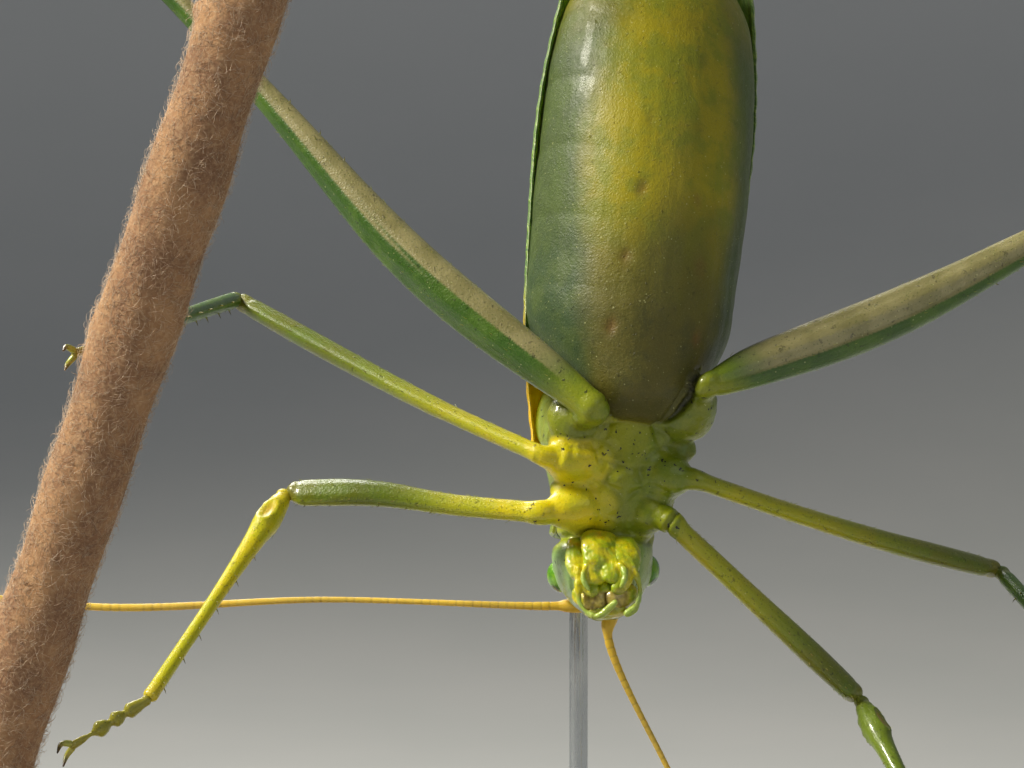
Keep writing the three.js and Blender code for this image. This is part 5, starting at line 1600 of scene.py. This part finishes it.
def wood_finish():
    f = Finish("dark_walnut")
    grain = f.streaks((0.05, 0.55, 0.55), 8.0, Roughness=0.65, Distortion=1.2)
    pore = f.streaks((0.3, 5.0, 5.0), 3.0)
    tone = f.mix(f.step(grain, 0.3, 0.7), "3e2818", "744c2e")
    tone = f.mix(f.step(pore, 0.56, 0.66) * 0.6, tone, "24150c")
    return f.surface(
        Base_Color=tone, Roughness=f.step(grain, 0.3, 0.7) * 0.15 + 0.3,
        Coat_Weight=0.25, Coat_Roughness=0.2,
        Normal=f.bump(pore * 0.6 + grain * 0.4, 0.3, 0.00008),
    )


def rounded_board():
    """Rings of the board, from the middle of its underside out, up the eased edge and back in."""
    turns = np.linspace(0, 2 * math.pi, 96, endpoint=False)
    corner = BASE_CORNER
    way = np.stack([np.cos(turns), np.sin(turns)], 1)
    spot = np.sign(way) * (np.array(BASE_HALF) - corner)
    eased = [math.radians(step * 15) for step in range(7)]
    profile = [(corner - 0.5, 0.0)]
    profile += [(BASE_EASE * (1 - math.sin(a)), BASE_EASE * (1 - math.cos(a))) for a in eased]
    profile += [(BASE_EASE * (1 - math.cos(a)), BASE_THICK - BASE_EASE * (1 - math.sin(a))) for a in eased]
    profile.append((corner - 0.5, BASE_THICK))
    level = np.ones((len(turns), 1))
    return np.stack([np.hstack([spot + way * (corner - inset), level * z]) for inset, z in profile])


board_mesh = new_mesh("stand_base", *joined([rounded_board()]))
piece("stand_board", board_mesh, ["stand_base"], wood_finish())


def steel_finish():
    f = Finish("brushed_steel")
    lines = f.streaks((9.0, 9.0, 0.4), 3.0)
    tone = f.mix(f.step(f.noise(0.2, 3), 0.3, 0.7), "b9bdc2", "d2d4d6")
    return f.surface(
        Base_Color=tone, Metallic=1.0, Roughness=f.step(lines, 0.3, 0.7) * 0.15 + 0.18,
        Normal=f.bump(lines, 0.15, 0.00001),
    )


steel_look = steel_finish()


def dish(profile, sides, foot=(0, 0, 0)):
    """Rings turned round an upright axis on the foot, from pairs of radius and height."""
    turns = np.linspace(0, 2 * math.pi, sides, endpoint=False)
    rings = [np.column_stack([np.cos(turns) * r, np.sin(turns) * r, np.full(sides, z)]) for r, z in profile]
    return np.stack(rings) + np.asarray(foot)


def rod(name, path):
    """A steel rod with a collar round its foot."""
    size = graph((0, ROD_RADIUS - 0.02), (1, ROD_RADIUS - 0.02))
    shaft = limb(path, size, size, (1, 0, 0), 160, 32)[0]
    collar = dish([
        (COLLAR_LOW - 0.03, 0.0), (COLLAR_LOW - 0.02, 0.1), (COLLAR_HIGH, COLLAR_TALL - 0.1),
        (COLLAR_HIGH - 0.1, COLLAR_TALL), (ROD_RADIUS - 0.1, COLLAR_TALL),
    ], 64, path[0])
    piece(name + "_turned", new_mesh(name, *joined([shaft, collar])), [name], steel_look)


x, y, top = posed((-0.4, 0.6, SHIELD["top"](0.6) + 0.3))
behind = y + 6
rod("stand_rod_stem", [(*STEM_LOW[:2], BASE_THICK), (*STEM_LOW[:2], STEM_LOW[2] - 0.3)])
rod("stand_rod_body", [
    (x, behind, BASE_THICK), (x, behind, top - 9), (x, behind, top - 3), (x, behind - 3, top), (x, y, top),
])

# ---- floor, light and camera --------------------------------------------------------------------
# A plain pale floor that curves up behind, lit by one large soft lamp from the upper left and two
# weaker ones, seen level from in front of the thorax with a long lens.
FLOOR_FLAT, WALL_BEND, WALL_RISE = 0.22, 0.75, math.radians(52)  # in metres, as all of this section
LAMP_SPREAD = math.radians(70)


def set_stage():
    """The floor, a wide round dish that curves up all round behind the part."""
    profile = [(0.02, 0.0), (0.1, 0.0), (FLOOR_FLAT, 0.0)]
    for k in range(1, 25):
        a = k / 24 * WALL_RISE
        profile.append((FLOOR_FLAT + WALL_BEND * math.sin(a), WALL_BEND * (1 - math.cos(a))))
    rings = dish(profile, 120)
    faces = ring_faces(*rings.shape[:2], capped=False) + [list(range(120))]
    mesh = new_mesh("floor", rings.reshape(-1, 3), faces)
    floor = bpy.data.objects.new("floor", mesh)
    bpy.context.scene.collection.objects.link(floor)
    f = Finish("stage_paper")
    tone = f.mix(f.step(f.noise(0.02, 3), 0.3, 0.7), "b9bab9", "bdbdbc")
    up_the_wall = f.node("ShaderNodeSeparateXYZ", {}, {"Vector": f.place()}, "Z")
    # Painted light: the paper is painted paler up the curved wall, to make up for the lamps' weaker light
    # there.
    tone = f.mix(f.step(up_the_wall, 0, 300), tone, "e4e4e2")
    mesh.materials.append(f.surface(Base_Color=tone, Roughness=0.9))


def lamp(name, at, size, power, colour):
    """A soft square lamp that looks at the thorax, and that no camera sees."""
    light = bpy.data.lights.new(name, "AREA")
    light.shape, light.size, light.energy, light.color = "SQUARE", size, power, colour
    light.spread = LAMP_SPREAD
    thing = bpy.data.objects.new(name, light)
    thing.location = at
    thing.visible_camera = False
    looks = Vector(THORAX_AT.tolist()) * 0.001 - Vector(at)
    thing.rotation_euler = looks.to_track_quat("-Z", "Y").to_euler()
    bpy.context.scene.collection.objects.link(thing)


set_stage()
lamp("key", at=(-0.5, -0.1, 0.5), size=0.14, power=1.15, colour=(1.0, 0.95, 0.8))
lamp("fill", at=(0.35, -0.5, 0.3), size=0.4, power=0.07, colour=(0.9, 0.96, 1.0))
lamp("rim", at=(-0.2, 0.42, 0.45), size=0.25, power=0.36, colour=(1.0, 0.98, 0.93))

world = bpy.data.worlds.new("room")
world.use_nodes = True
sky = world.node_tree.nodes["Background"].inputs
sky["Color"].default_value, sky["Strength"].default_value = paint("e6eaee"), 0.24
bpy.context.scene.world = world
bpy.context.scene.view_settings.view_transform = "Standard"

camera = bpy.data.objects.new("camera", bpy.data.cameras.new("camera"))
camera.location = (-0.002848, -0.117, 0.058128)
camera.rotation_euler = (math.pi / 2, 0, 0)
camera.data.lens, camera.data.sensor_width = 87.9, 36
camera.data.clip_start = 0.005
bpy.context.scene.collection.objects.link(camera)
bpy.context.scene.camera = camera
